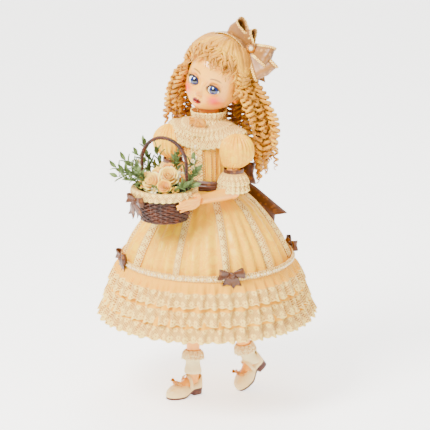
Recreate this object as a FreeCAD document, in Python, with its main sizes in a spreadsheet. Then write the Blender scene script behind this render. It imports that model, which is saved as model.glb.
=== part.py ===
"""Porcelain doll in a tiered lace dress, holding a basket of flowers between its hands.

The doll faces -Y, its left side is +X and +Z is up. The origin is on the floor under the axis of
the skirt, which is also the bottom centre of the whole doll. All sizes are in millimetres and are
kept in the spreadsheet Sizes; every piece takes its size and place from those cells.
"""
import FreeCAD, Part
import math
import os
import re

import Sketcher
from FreeCAD import Placement, Rotation, Vector

SIZES = {
    # heights, each above the one before
    "hip_height": 214, "waist_rise": 44, "shoulder_rise": 64, "neck_rise": 18, "head_rise": 52,
    # gaps
    "gap": 0.4, "run_gap": 0.08, "cloth": 1.6, "porcelain": 3,
    # torso
    "torso_half": 23.5, "torso_deep": 18.5, "plate_half": 25.6, "plate_height": 33,
    "pelvis_half": 6.5, "pelvis_drop": 12, "torso_over_hip": 14.5,
    # stringing wires
    "arm_wire_radius": 1.2, "leg_wire_radius": 1.5,
    # dress
    "sash_width": 11, "collar_radius": 18.2, "collar_flare": 3.6, "collar_height": 10.5,
    "yoke_half": 45.5, "yoke_deep": 24.5, "button_radius": 1.5,
    "skirt_wall": 2, "skirt_top_radius": 30, "skirt_shoulder_radius": 46, "skirt_mid_radius": 68,
    "skirt_low_radius": 88, "seam_radius": 98, "skirt_edge_radius": 107,
    "skirt_shoulder_drop": 10, "skirt_mid_drop": 34, "skirt_low_drop": 64, "seam_drop": 88,
    "skirt_edge_drop": 128,
    "ruffle_wall": 2, "ruffle_fall": 30, "top_flare": 20, "middle_flare": 22, "bottom_flare": 25,
    "middle_step": 21, "bottom_step": 43, "bead_height": 4,
    "bow_angle": 46, "bow_half": 15, "bow_high": 6.5, "bow_thick": 3.6,
    "sash_bow_half": 34, "sash_tail_length": 84, "sash_tail_width": 17,
    # neck and head, the head's own frame is turned by yaw, nod and lean
    "neck_back": 4, "ball_radius": 13.4, "neck_radius": 12.4, "bolt_radius": 1.5,
    "head_side": 7, "head_back": 12, "head_yaw": 4, "head_nod": 7, "head_lean": 20,
    "head_half": 32.5, "head_deep": 35, "head_high": 42.5, "crown_cut": 29,
    "eye_radius": 8.4, "eye_side": 13.6, "eye_front": 22, "eye_drop": 11,
    "hair_thick": 7.5, "face_cut": 28, "fringe_low": 7, "fringe_high": 30, "band_width": 4.5,
    "pearl_radius": 2.6, "setting_radius": 4.2, "hair_bow_length": 40,
    # arms
    "shoulder_half": 37, "arm_inner": 29, "elbow_half": 48, "upper_arm_length": 60,
    "left_elbow_forward": 22, "right_elbow_forward": 10,
    "upper_arm_radius": 8, "wrist_radius": 6.2, "elbow_radius": 8.6, "shoulder_ball": 8,
    "sleeve_radius": 21.5, "sleeve_forward": 8, "sleeve_half_height": 22, "sleeve_drop": 13,
    "cuff_radius": 17, "cuff_height": 20, "band_high": 3.6, "band_out": 2.2,
    # basket
    "basket_shift": 8, "rim_radius": 36, "base_radius": 27, "basket_depth": 33,
    "basket_wall": 2.4, "rim_rod": 1.8, "handle_rod": 1.9, "handle_half": 30,
    "handle_straight": 34, "basket_rise": 13, "skirt_gap": 3.2,
    "finger_radius": 2.1, "finger_turn": 42, "palm_thick": 4.6, "palm_long": 11, "palm_high": 8.6,
    "left_palm_angle": 12, "right_palm_angle": 40, "rose_radius": 8.6, "bud_radius": 5.2,
    # legs and shoes
    "hip_half": 17, "hip_ball": 9.5, "thigh_radius": 13, "knee_radius": 10.5, "ankle_radius": 7.6,
    "ankle_height": 43, "right_step": 15, "right_cross": 5, "left_toe_back": 26,
    "left_toe_out": 30, "shoe_long": 48, "shoe_half": 10.6, "shoe_high": 23, "shoe_wall": 1.2,
    "sole_thick": 2.4, "heel_high": 8.6, "heel_long": 13, "sock_thick": 1.2, "sock_height": 12,
    "left_heel_lift": 38, "left_turn": 28, "right_turn": 25,
}

ORIGIN = Placement()
UP, LEFT, BACK = Vector(0, 0, 1), Vector(1, 0, 0), Vector(0, 1, 0)
doc = FreeCAD.newDocument("porcelain_doll")
sheet = doc.addObject("Spreadsheet::Sheet", "Sizes")
for row, (alias, number) in enumerate(SIZES.items(), start=1):
    sheet.set(f"A{row}", alias)
    sheet.set(f"B{row}", str(number))
    sheet.setAlias(f"B{row}", alias)
doc.recompute()
nodes = []


def value(expression):
    """The number that an expression on the sheet's cells has now."""
    return float(sheet.evalExpression(str(expression)))


def bind(piece, prop, expression):
    """Ties one property of a piece to an expression on the sheet's cells."""
    piece.setExpression(prop, re.sub(r"[a-z][a-z_]*", r"Sizes.\g<0>", str(expression)))


def node(piece, label):
    """Registers a finished piece as a sub-part under its label."""
    piece.Label = label
    nodes.append(piece)
    return piece


def at(x, y, z, axis=UP, degrees=0.0):
    return Placement(Vector(x, y, z), Rotation(axis, degrees))


def primitive(kind, place, **sizes):
    """A Part primitive, such as a Cylinder, with each size an expression."""
    piece = doc.addObject("Part::" + kind, kind)
    for prop, expression in sizes.items():
        bind(piece, prop, expression)
    piece.Placement = place
    return piece


def ellipsoid(place, half_x, half_y, half_z):
    return primitive("Ellipsoid", place, Radius1=half_z, Radius2=half_x, Radius3=half_y)


def rod(start, end, radius, end_radius=None):
    """A cylinder or a cone from one point to another."""
    start, end = Vector(*start), Vector(*end)
    place = Placement(start, Rotation(UP, end - start))
    if end_radius is None:
        piece = primitive("Cylinder", place, Radius=radius)
    else:
        piece = primitive("Cone", place, Radius1=radius, Radius2=end_radius)
    piece.Height = (end - start).Length
    return piece


def cut(base, tool):
    piece = doc.addObject("Part::Cut", "Cut")
    piece.Base, piece.Tool = base, tool
    return piece


def common(base, tool):
    piece = doc.addObject("Part::Common", "Common")
    piece.Base, piece.Tool = base, tool
    return piece


def fuse(*pieces):
    piece = doc.addObject("Part::MultiFuse", "Fuse")
    piece.Shapes = list(pieces)
    piece.Refine = False
    return piece


def group(*pieces):
    """Separate solids kept in one node."""
    piece = doc.addObject("Part::Compound", "Group")
    piece.Links = list(pieces)
    return piece


def outline_of(sketch, outline):
    """Draws a closed outline in a sketch and ties each corner to its two expressions."""
    corners = [Vector(value(across), value(up), 0) for across, up in outline]
    count = len(corners)
    for i, corner in enumerate(corners):
        sketch.addGeometry(Part.LineSegment(corner, corners[(i + 1) % count]), False)
    for i in range(count):
        sketch.addConstraint(Sketcher.Constraint("Coincident", i, 2, (i + 1) % count, 1))
    for i, pair in enumerate(outline):
        for kind, number, expression in zip(("DistanceX", "DistanceY"), corners[i], pair):
            tie = sketch.addConstraint(Sketcher.Constraint(kind, -1, 1, i, 1, number))
            bind(sketch, f"Constraints[{tie}]", expression)


def revolved(label, outline, place=ORIGIN):
    """A PartDesign body turned about its own Z axis from an outline of (radius, height) corners."""
    body = doc.addObject("PartDesign::Body", label)
    sketch = body.newObject("Sketcher::SketchObject", label + "_outline")
    plane = next(f for f in body.Origin.OriginFeatures if f.Role == "XZ_Plane")
    sketch.AttachmentSupport = [(plane, "")]
    sketch.MapMode = "FlatFace"
    outline_of(sketch, outline)
    turn = body.newObject("PartDesign::Revolution", label + "_turn")
    turn.Profile = sketch
    turn.ReferenceAxis = (sketch, ["V_Axis"])
    turn.Angle = 360
    body.Tip = turn
    body.Placement = place
    return body


def padded(label, outline, width, place=ORIGIN):
    """A PartDesign body of a side outline of (y, z) corners, padded both ways across X."""
    body = doc.addObject("PartDesign::Body", label)
    sketch = body.newObject("Sketcher::SketchObject", label + "_side")
    plane = next(f for f in body.Origin.OriginFeatures if f.Role == "YZ_Plane")
    sketch.AttachmentSupport = [(plane, "")]
    sketch.MapMode = "FlatFace"
    outline_of(sketch, outline)
    doc.recompute()
    pad = body.newObject("PartDesign::Pad", label + "_pad")
    pad.Profile = sketch
    pad.SideType = "Symmetric"
    bind(pad, "Length", width)
    body.Tip = pad
    body.Placement = place
    return body


def loft(sections, place=ORIGIN):
    """A ruled solid through level ellipses, each (height, back, half width, half depth)."""
    rings = []
    for height, back, half, deep in sections:
        ring = doc.addObject("Part::Ellipse", "Ring")
        wide = value(half) >= value(deep)
        bind(ring, "MajorRadius", half if wide else deep)
        bind(ring, "MinorRadius", deep if wide else half)
        ring.Placement = place * at(0, value(back), value(height), UP, 0 if wide else 90)
        rings.append(ring)
    piece = doc.addObject("Part::Loft", "Loft")
    piece.Sections, piece.Solid, piece.Ruled = rings, True, True
    return piece


def lobe(place, half, high, thick):
    """One loop of a ribbon bow along X, from its knot end at -half to its round end at +half."""
    return loft([
        (f"0 - ({half})", 0, f"({high}) * 0.4", f"({thick}) * 0.5"),
        (f"0 - ({half}) * 0.4", 0, f"({high}) * 0.8", f"({thick}) * 0.9"),
        (f"({half}) * 0.4", 0, high, thick),
        (half, 0, f"({high}) * 0.6", f"({thick}) * 0.5"),
    ], place * at(0, 0, 0, BACK, 90))


def knot(place, half, high, thick):
    """The wrapped knot in the middle of a ribbon bow."""
    return loft([
        (f"0 - ({half})", 0, f"({high}) * 0.8", f"({thick}) * 0.8"), ("0", 0, high, thick),
        (half, 0, f"({high}) * 0.8", f"({thick}) * 0.8"),
    ], place * at(0, 0, 0, BACK, 90))


def little_bow(place, half):
    """A small flat-tied bow: a round knot between two flaring loops along X."""
    middle = primitive("Sphere", place * at(0, 0, 0, BACK, 90), Radius="1.9")
    loops = [rod(tuple(place.multVec(Vector(s * 0.6, 0, 0))), tuple(place.multVec(Vector(s * half, 0, 0))), "1", "2.2")
             for s in (1, -1)]
    return fuse(middle, *loops)


# heights that several pieces share
WAIST = "hip_height + waist_rise"
SHOULDER = WAIST + " + shoulder_rise"
NECK = SHOULDER + " + neck_rise"
HEAD = NECK + " + head_rise"
waist, shoulder, neck, head_z = value(WAIST), value(SHOULDER), value(NECK), value(HEAD)


def torso():
    """Stuffed cloth body, porcelain shoulder plate and the two stringing wires."""
    top = SHOULDER + " - neck_rise + 2"
    hip = value("hip_height")
    trunk = loft([
        ("hip_height + torso_over_hip", 0, "torso_half", "torso_deep"),
        (WAIST, 0, "torso_half - 1", "torso_deep"),
        (top, 0, "plate_half - 1", "torso_deep - 1"),
    ])
    block = primitive("Box", at(-value("pelvis_half"), -value("torso_deep / 2"), hip - value("pelvis_drop")),
                      Length="2 * pelvis_half", Width="torso_deep", Height="pelvis_drop + torso_over_hip + 4")
    pin = "leg_wire_radius + gap / 4"
    reach = value("hip_half + hip_ball")
    bore = rod((-reach, 0, hip), (reach, 0, hip), pin)
    node(cut(fuse(trunk, block), bore), "cloth_torso")

    low = f"{top} + gap"
    plate = loft([
        (low, 0, "plate_half", "torso_deep - 1"),
        (SHOULDER + " + 3", 0, "plate_half", "torso_deep - 1.5"),
        (SHOULDER + " + 10", "neck_back / 2", "plate_half - 4.5", "ball_radius + 3"),
        (NECK + " - 1", "neck_back", "ball_radius + 3", "ball_radius + 3"),
    ])
    cavity = loft([
        (low + " - 1", 0, "plate_half - porcelain", "torso_deep - 1 - porcelain"),
        (SHOULDER + " - 4", 0, "plate_half - porcelain - 1", "torso_deep - 2 - porcelain"),
    ])
    back = value("neck_back")
    socket = primitive("Sphere", at(0, back, neck), Radius="ball_radius + gap")
    hole = rod((0, back, shoulder - 8), (0, back, neck), "bolt_radius + gap")
    arm = value("shoulder_half + shoulder_ball / 2")
    wire_bore = rod((-arm, 0, shoulder), (arm, 0, shoulder), "arm_wire_radius + gap / 4")
    node(cut(plate, fuse(cavity, socket, hole, wire_bore)), "shoulder_plate")

    node(group(
        rod((-arm, 0, shoulder), (arm, 0, shoulder), "arm_wire_radius"),
        rod((-reach + 1, 0, hip), (reach - 1, 0, hip), "leg_wire_radius"),
    ), "limb_wires")


def bodice():
    """The dress's bodice with its collar, lace yoke, throat bow, buttons and sash."""
    def sections(inset, over):
        return [
            (WAIST + f" + 1 - {over}", 0, f"plate_half + 1.6 - {inset}", f"torso_deep + 3 - {inset}"),
            (SHOULDER + " - 12", 0, f"plate_half + 2.4 - {inset}", f"torso_deep + 3 - {inset}"),
            (SHOULDER + " + 4", 0, f"plate_half + 2.4 - {inset}", f"torso_deep + 2.4 - {inset}"),
            (SHOULDER + " + 10.5", "neck_back / 2", f"plate_half - 1.4 - {inset}", f"ball_radius + 6 - {inset}"),
            (NECK + f" - 2 + {over}", "neck_back", f"ball_radius + 5.1 - {inset}", f"ball_radius + 5.1 - {inset}"),
        ]
    arm = value("arm_inner")
    holes = rod((-arm, 0, shoulder), (arm, 0, shoulder), "arm_wire_radius + gap")
    node(cut(loft(sections("0", "0")), fuse(loft(sections("cloth", "0.5")), holes)), "bodice")

    back = value("neck_back")
    node(revolved("lace_collar", [
        ("collar_radius", "0"), ("collar_radius + cloth", "0"),
        ("collar_radius + cloth + collar_flare", "collar_height"),
        ("collar_radius + collar_flare", "collar_height"),
    ], at(0, back, neck - 0.5)), "lace_collar")

    outer = loft([
        (NECK + " - 1.2", "neck_back", "collar_radius - 0.6", "collar_radius - 0.6"),
        (NECK + " - 2.4", 0, "yoke_half", "yoke_deep"),
        (NECK + " - 3.7", 0, "yoke_half", "yoke_deep"),
    ])
    inner = loft([
        (NECK + " - 5", 0, "yoke_half + 2", "yoke_deep + 2"),
        (NECK + " - 3.7", 0, "yoke_half - 1", "yoke_deep - 1"),
        (NECK + " - 2.6", "neck_back", "collar_radius - 1", "collar_radius - 1"),
    ])
    throat = rod((0, back, neck - 12), (0, back, neck + 2), "ball_radius + 10.6 + gap", "ball_radius + 5.1 + gap")
    body_clear = loft([
        (SHOULDER + " + 2", 0, "plate_half + 2.6", "torso_deep + 2.8"),
        (SHOULDER + " + 4", 0, "plate_half + 2.8", "torso_deep + 2.8"),
        (SHOULDER + " + 10.9", "neck_back / 2", "plate_half - 1", "ball_radius + 6.4"),
    ])
    node(cut(outer, fuse(inner, throat, body_clear)), "yoke_lace")

    front = back - value("collar_radius + collar_flare + cloth") - 4.2
    node(little_bow(at(0, front, neck + 3), 7.5), "throat_bow")

    chest = -value("torso_deep + 3 + gap") - 1.2
    drops = [value("shoulder_rise") * share for share in (0.18, 0.38, 0.6)]
    node(group(*[
        primitive("Cylinder", at(0, chest + 1.2, shoulder - drop, LEFT, 90), Radius="button_radius", Height="1.2")
        for drop in drops
    ]), "buttons")

    def belt(grow):
        half, deep = f"plate_half + 2.4 + gap + {grow}", f"torso_deep + 3 + gap + {grow}"
        return half, deep
    half, deep = belt("cloth")
    band = loft([(WAIST + " + gap", 0, half, deep), (WAIST + " + gap + sash_width", 0, half, deep)])
    half, deep = belt("0")
    hole = loft([(WAIST + " - 1", 0, half, deep), (WAIST + " + sash_width + 2", 0, half, deep)])
    node(cut(band, hole), "sash_band")


def sash_bow():
    """The large bow of the sash at the back of the waist, with its two tails."""
    y = value("torso_deep + 3 + 2 * gap + cloth") + 4
    z = waist + value("sash_width / 2") + 1
    half = value("sash_bow_half")
    tails = []
    for out, drop in ((60, 55), (42, 50)):
        start = Vector(3, y + 5, z + 2)
        end = Vector(out, y + 46, z - drop)
        along = end - start
        tail = primitive("Box", ORIGIN, Width="cloth", Height="sash_tail_length", Length="sash_tail_width")
        turn = Rotation(Vector(1, 0, 0), Vector(0, 0, 0), along, "ZXY")
        tail.Placement = Placement(start, turn) * at(-value("sash_tail_width / 2"), -0.8, 0)
        tails.append(tail)
    lobes = [
        lobe(at(side * (half * 0.5 + 1), y + 5, z - 1, UP, 0 if side > 0 else 180) * at(0, 0, 0, BACK, 8),
             "sash_bow_half / 2", "8.5", "5.2")
        for side in (1, -1)
    ]
    node(fuse(knot(at(0, y + 3, z), "5", "5.4", "5"), *lobes, *tails), "sash_bow")


def skirt_outline(inset, top="0", bottom="0"):
    """Corners of the skirt's side from the waist down, moved in by an inset, as (radius, height)."""
    return [
        (f"skirt_top_radius - {inset}", f"{WAIST} - ({top})"),
        (f"skirt_shoulder_radius - {inset}", f"{WAIST} - skirt_shoulder_drop - {inset} / 2"),
        (f"skirt_mid_radius - {inset}", f"{WAIST} - skirt_mid_drop - {inset} / 3"),
        (f"skirt_low_radius - {inset}", f"{WAIST} - skirt_low_drop"),
        (f"seam_radius - {inset}", f"{WAIST} - seam_drop"),
        (f"skirt_edge_radius - {inset}", f"{WAIST} - skirt_edge_drop + {bottom}"),
    ]


def skirt():
    """Skirt and petticoat, the three gathered lace tiers, beading and bows."""
    outside = skirt_outline("0", "gap")
    inside = skirt_outline("skirt_wall", "gap")
    node(revolved("skirt", outside + inside[::-1]), "skirt")

    under = skirt_outline("(skirt_wall + 1)", "gap + 3.5", "4")
    lining = skirt_outline("(skirt_wall + 1 + cloth)", "gap + 3.5", "4")
    node(revolved("petticoat", under + lining[::-1]), "petticoat")

    def tier(label, step, flare):
        share = f"({step}) / (skirt_edge_drop - seam_drop)"
        root = f"seam_radius + gap + (skirt_edge_radius - seam_radius) * {share}"
        top = f"{WAIST} - seam_drop - {step}"
        node(revolved(label, [
            (root + " + 0.6", top), (root + " + ruffle_wall + 0.6", top),
            (f"{root} + {flare} + ruffle_wall", f"{top} - ruffle_fall"),
            (f"{root} + {flare}", f"{top} - ruffle_fall"),
        ]), label)
    tier("ruffle_top", "0", "top_flare")
    tier("ruffle_middle", "middle_step", "middle_flare")
    tier("ruffle_bottom", "(bottom_step - 4)", "bottom_flare")

    lean = "(seam_radius - skirt_low_radius) * bead_height / (seam_drop - skirt_low_drop)"
    low = f"{WAIST} - seam_drop + gap"
    node(revolved("beading_lace", [
        ("seam_radius + gap + 0.2", low), ("seam_radius + gap + 1.2", low),
        (f"seam_radius + gap + 1.2 - {lean}", low + " + bead_height"),
        (f"seam_radius + gap + 0.2 - {lean}", low + " + bead_height"),
    ]), "beading_lace")

    bows = []
    z = waist - value("seam_drop") + value("bead_height + bow_high")
    radius = value("seam_radius + bow_thick + 2.2")
    for quarter in range(4):
        place = at(0, 0, z, UP, value("bow_angle") + 90 * quarter)
        half = value("bow_half")
        bows.append(fuse(
            *[lobe(place * at(s * half / 2, -radius, 0.2, UP, 0 if s > 0 else 180) * at(0, 0, 0, BACK, -8),
                   "bow_half / 2", "bow_high", "bow_thick - 0.8") for s in (1, -1)],
            knot(place * at(0, -radius, 0), "2.6", "bow_thick", "bow_thick"),
        ))
    node(group(*bows), "skirt_bows")


HEAD_FRAME = Placement(
    Vector(value("head_side"), value("head_back"), head_z),
    Rotation(UP, value("head_yaw")) * Rotation(LEFT, -value("head_nod")) * Rotation(BACK, value("head_lean")),
)


def hair_shape(grow):
    """The outer form of the dressed hair, grown all round."""
    return ellipsoid(HEAD_FRAME * at(0, 4, 3), f"head_half + hair_thick + {grow}",
                     f"head_deep + hair_thick + {grow}", f"head_high + hair_thick - 1 + {grow}")


def head_shape(grow):
    return ellipsoid(HEAD_FRAME, f"head_half + {grow}", f"head_deep + {grow}", f"head_high + {grow}")


def head():
    """Porcelain head with its crown pate and set-in glass eyes, and the bolt that holds it."""
    back, ball = value("neck_back"), value("ball_radius")
    side, front, drop = value("eye_side"), value("eye_front"), value("eye_drop")
    root = Vector(0, back, neck)
    under = HEAD_FRAME.multVec(Vector(0, 0, -value("head_high") * 0.62))
    throat = rod(tuple(root), tuple(under), "neck_radius")
    ball_end = primitive("Sphere", at(0, back, neck), Radius="ball_radius")
    cavity = head_shape("0 - porcelain")
    bore = rod((0, back, neck - ball - 1), (0, back, neck + ball * 0.7), "bolt_radius + gap / 4")
    sockets = [
        primitive("Sphere", HEAD_FRAME * at(s * side, -front, -drop), Radius="eye_radius + gap")
        for s in (1, -1)
    ]
    crown = primitive("Box", HEAD_FRAME * at(-50, -50, value("crown_cut")), Length="100", Width="100", Height="40")
    skull = cut(head_shape("0"), cavity)
    neck_piece = cut(fuse(throat, ball_end), head_shape("0 - porcelain"))
    node(cut(fuse(skull, neck_piece), fuse(bore, crown, *sockets)), "head_shell")

    lid = primitive("Box", HEAD_FRAME * at(-50, -50, value("crown_cut + gap")), Length="100", Width="100", Height="40")
    node(common(cut(head_shape("0"), head_shape("0 - porcelain")), lid), "crown_pate")

    for name, s in (("eye_left", 1), ("eye_right", -1)):
        node(primitive("Sphere", HEAD_FRAME * at(s * side, -front, -drop), Radius="eye_radius"), name)

    low = shoulder - value("neck_rise") + 4
    nut = rod((0, back, low), (0, back, low + 3), "3.2")
    bolt = rod((0, back, low), (0, back, neck + ball * 0.65), "bolt_radius")
    node(fuse(bolt, nut), "neck_bolt")
    spring = rod((0, back, low + 3.3), (0, back, shoulder - 4.3), "3.6")
    core = rod((0, back, low), (0, back, shoulder), "bolt_radius + gap")
    node(cut(spring, core), "neck_spring")


def wig():
    """The wig: a cap of dressed hair, a fringe and three falls of ringlets."""
    face = rod(tuple(HEAD_FRAME.multVec(Vector(0, -70, -14))), tuple(HEAD_FRAME.multVec(Vector(0, -6, -14))), "face_cut")
    brow = primitive("Box", HEAD_FRAME * at(-24, -60, value("fringe_low")), Length="48", Width="42",
                     Height="fringe_high - fringe_low")
    throat = rod((0, value("neck_back"), neck - 20), tuple(HEAD_FRAME.multVec(Vector(0, 0, 0))), "neck_radius + 8")
    keep = primitive("Box", HEAD_FRAME * at(-60, -60, -30), Length="120", Width="120", Height="120")
    shell = cut(common(hair_shape("0"), keep), fuse(head_shape("gap"), face, brow, throat))
    node(shell, "wig_cap")

    strip = primitive("Box", HEAD_FRAME * at(-23.5, -60, value("fringe_low")), Length="47", Width="41.5",
                      Height="fringe_high - fringe_low - gap")
    node(common(cut(hair_shape("0 - 1"), head_shape("gap")), strip), "fringe")

    def fall(sections, *others):
        rings = []
        for z, x, y, half, deep in sections:
            ring = doc.addObject("Part::Ellipse", "Ring")
            ring.MajorRadius, ring.MinorRadius = max(half, deep), min(half, deep)
            ring.Placement = at(x, y, neck + z, UP, 0 if half >= deep else 90)
            rings.append(ring)
        body = doc.addObject("Part::Loft", "Fall")
        body.Sections, body.Solid, body.Ruled = rings, True, True
        return cut(body, fuse(hair_shape("gap"), *others)) if others else cut(body, hair_shape("gap"))
    low = -value("shoulder_rise") - value("neck_rise") + 10
    left = fall([(32, 44, 30, 15, 17), (5, 54, 40, 19, 18), (-40, 56, 42, 18, 17), (low, 54, 42, 9, 9)])
    right = fall([(38, -38, 12, 11, 15), (5, -44, 26, 14, 12), (-40, -46, 34, 12, 10), (low + 6, -42, 34, 8, 8)])
    node(left, "curls_left")
    node(right, "curls_right")
    node(fall([(42, 8, 50, 24, 13), (5, 4, 47, 30, 12), (-40, 3, 46, 30, 10), (low + 2, 2, 44, 22, 7)], left, right),
         "curls_back")


def trimmings():
    """Headband, hair bow and the pearl brooch on it."""
    slab = primitive("Box", HEAD_FRAME * at(-60, 0, 0), Length="120", Width="band_width", Height="70")
    node(common(cut(hair_shape("1.6"), hair_shape("gap")), slab), "headband")

    heart = HEAD_FRAME.multVec(Vector(26, 5, 46.5))
    reach = value("hair_bow_length")
    spread = [(Vector(-0.64, -0.17, 0.75), 0.92, 9.5), (Vector(0.2, 0.1, 0.66), 0.8, 7.5),
              (Vector(0.77, 0.25, -0.58), 0.92, 9), (Vector(0.6, 0.08, -0.8), 1.25, 5.5),
              (Vector(0.26, -0.16, -0.95), 1.4, 5.5)]
    lobes = []
    for way, share, wide in spread:
        half = reach * share / 2
        turn = Rotation(way, BACK, way.cross(BACK), "XYZ")
        lobes.append(lobe(Placement(heart + way.normalize() * half * 0.96, turn), str(half), str(wide), "4.2"))
    lobes.append(knot(at(*heart), "setting_radius + 1", "setting_radius + 1.2", "setting_radius + 0.4"))
    front = Vector(0.42, -0.88, 0.2).normalize()
    seat = Placement(heart + front * 3.4, Rotation(UP, front))
    well = primitive("Cylinder", seat, Radius="setting_radius + gap", Height="20")
    node(cut(fuse(*lobes), fuse(hair_shape("2"), well)), "hair_bow")
    node(primitive("Cylinder", seat * at(0, 0, 0.2), Radius="setting_radius", Height="2"), "brooch_setting")
    node(primitive("Sphere", seat * at(0, 0, 2.3 + value("pearl_radius")), Radius="pearl_radius"), "brooch_pearl")


# the basket stands clear of the skirt, and both hands hold its sides
BASKET_TOP = WAIST + " + basket_rise"
basket_low = value(BASKET_TOP + " - basket_depth")
fall_share = value("(skirt_mid_drop - (0 - basket_rise + basket_depth)) / (skirt_mid_drop - skirt_shoulder_drop)")
skirt_there = value("skirt_mid_radius") - fall_share * value("skirt_mid_radius - skirt_shoulder_radius")
basket_y = -(skirt_there + value("base_radius + skirt_gap"))
basket_x = -value("basket_shift")
rim_z = value(BASKET_TOP)


def wall_radius(z):
    """The basket's outer radius at a height."""
    return value("base_radius") + value("(rim_radius - base_radius) / basket_depth") * (z - basket_low)


def basket():
    """Woven basket with its rim and hoop handle, lace, bow, and the flowers in a foam block."""
    place = at(basket_x, basket_y, basket_low)
    node(revolved("basket_bowl", [
        ("0", "0"), ("base_radius", "0"), ("rim_radius", "basket_depth"),
        ("rim_radius - basket_wall", "basket_depth"), ("base_radius - basket_wall", "basket_wall"),
        ("0", "basket_wall"),
    ], place), "basket_bowl")
    node(primitive("Torus", at(basket_x, basket_y, rim_z + value("rim_rod + gap / 2")),
                   Radius1="rim_radius - basket_wall / 2", Radius2="rim_rod"), "basket_rim")

    half, straight = value("handle_half"), value("handle_straight")
    low = rim_z - 5
    arch = primitive("Torus", at(basket_x, basket_y, rim_z + straight, LEFT, 90),
                     Radius1="handle_half", Radius2="handle_rod")
    arch.Angle3 = 180
    legs = [rod((basket_x + s * half, basket_y, low), (basket_x + s * half, basket_y, rim_z + straight), "handle_rod")
            for s in (1, -1)]
    node(fuse(arch, *legs), "basket_handle")

    node(revolved("basket_lace", [
        ("rim_radius - 3.6", "0"), ("rim_radius + 2.4", "0"), ("rim_radius + 2.4", "1.4"), ("rim_radius - 3.6", "1.4"),
    ], at(basket_x, basket_y, rim_z + value("2 * rim_rod + gap"))), "basket_lace")

    turn = at(basket_x, basket_y, rim_z - 4, UP, -24)
    out = value("rim_radius + rim_rod") + 3.2
    node(fuse(
        *[lobe(turn * at(s * 8.5, -out, 1, UP, 0 if s > 0 else 180) * at(0, 0, 0, BACK, -12), "8.5", "6", "3")
          for s in (1, -1)],
        knot(turn * at(0, -out, 0), "3", "3.6", "3.4"),
        *[lobe(turn * at(s * 6, -out - 0.6, -14, BACK, 90 - s * 22), "14", "3.4", "1.6") for s in (1, -1)],
    ), "basket_bow")

    node(revolved("flower_foam", [
        ("0", "0"), ("base_radius - basket_wall - gap", "0"),
        ("rim_radius - basket_wall - gap - 6.6", "basket_depth - basket_wall - 4"), ("0", "basket_depth - basket_wall - 4"),
    ], at(basket_x, basket_y, basket_low + value("basket_wall + gap"))), "flower_foam")

    spots = [(-4, -20, 13, "rose_radius"), (12, -10, 20, "rose_radius"), (-10, 2, 19, "bud_radius"),
             (14, -24, 11, "bud_radius"), (-20, -10, 14, "bud_radius"), (2, 8, 24, "bud_radius"),
             (22, 2, 14, "bud_radius")]
    blooms = []
    for x, y, z, radius in spots:
        middle = Vector(basket_x + x, basket_y + y, rim_z + z)
        stem = Vector(basket_x + x * 0.4, basket_y + y * 0.4, rim_z + 3)
        seat = Placement(middle, Rotation(UP, middle - stem))
        blooms.append(fuse(primitive("Sphere", seat, Radius=radius), rod(tuple(stem), tuple(middle), "0.9")))
    node(group(*blooms), "roses")

    sprigs = [((-22, -6), (-46, -12, 34)), ((-22, 5), (-54, 12, 22)), ((-19, 7), (-34, 10, 52)),
              ((-20, -16), (-50, -26, 28)), ((-12, 14), (-22, 20, 44)), ((16, 12), (30, 16, 40)),
              ((24, 8), (38, 10, 28)), ((-14, -21), (-26, -21, 34)), ((6, 15), (10, 14, 44)), ((21, -12), (36, -15, 15))]
    moss = loft([("0 - 3.2", 0, "handle_half - 6", "handle_half - 6"), ("0 - 1", 0, "handle_half - 5", "handle_half - 5"),
                 ("1.8", 0, "handle_half - 9", "handle_half - 9")], at(basket_x, basket_y, rim_z))
    stems = [rod((basket_x + a, basket_y + b, rim_z + 2.4), (basket_x + x, basket_y + y, rim_z + z), "1.7", "0.8")
             for (a, b), (x, y, z) in sprigs]
    node(group(moss, *stems), "foliage")


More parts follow.
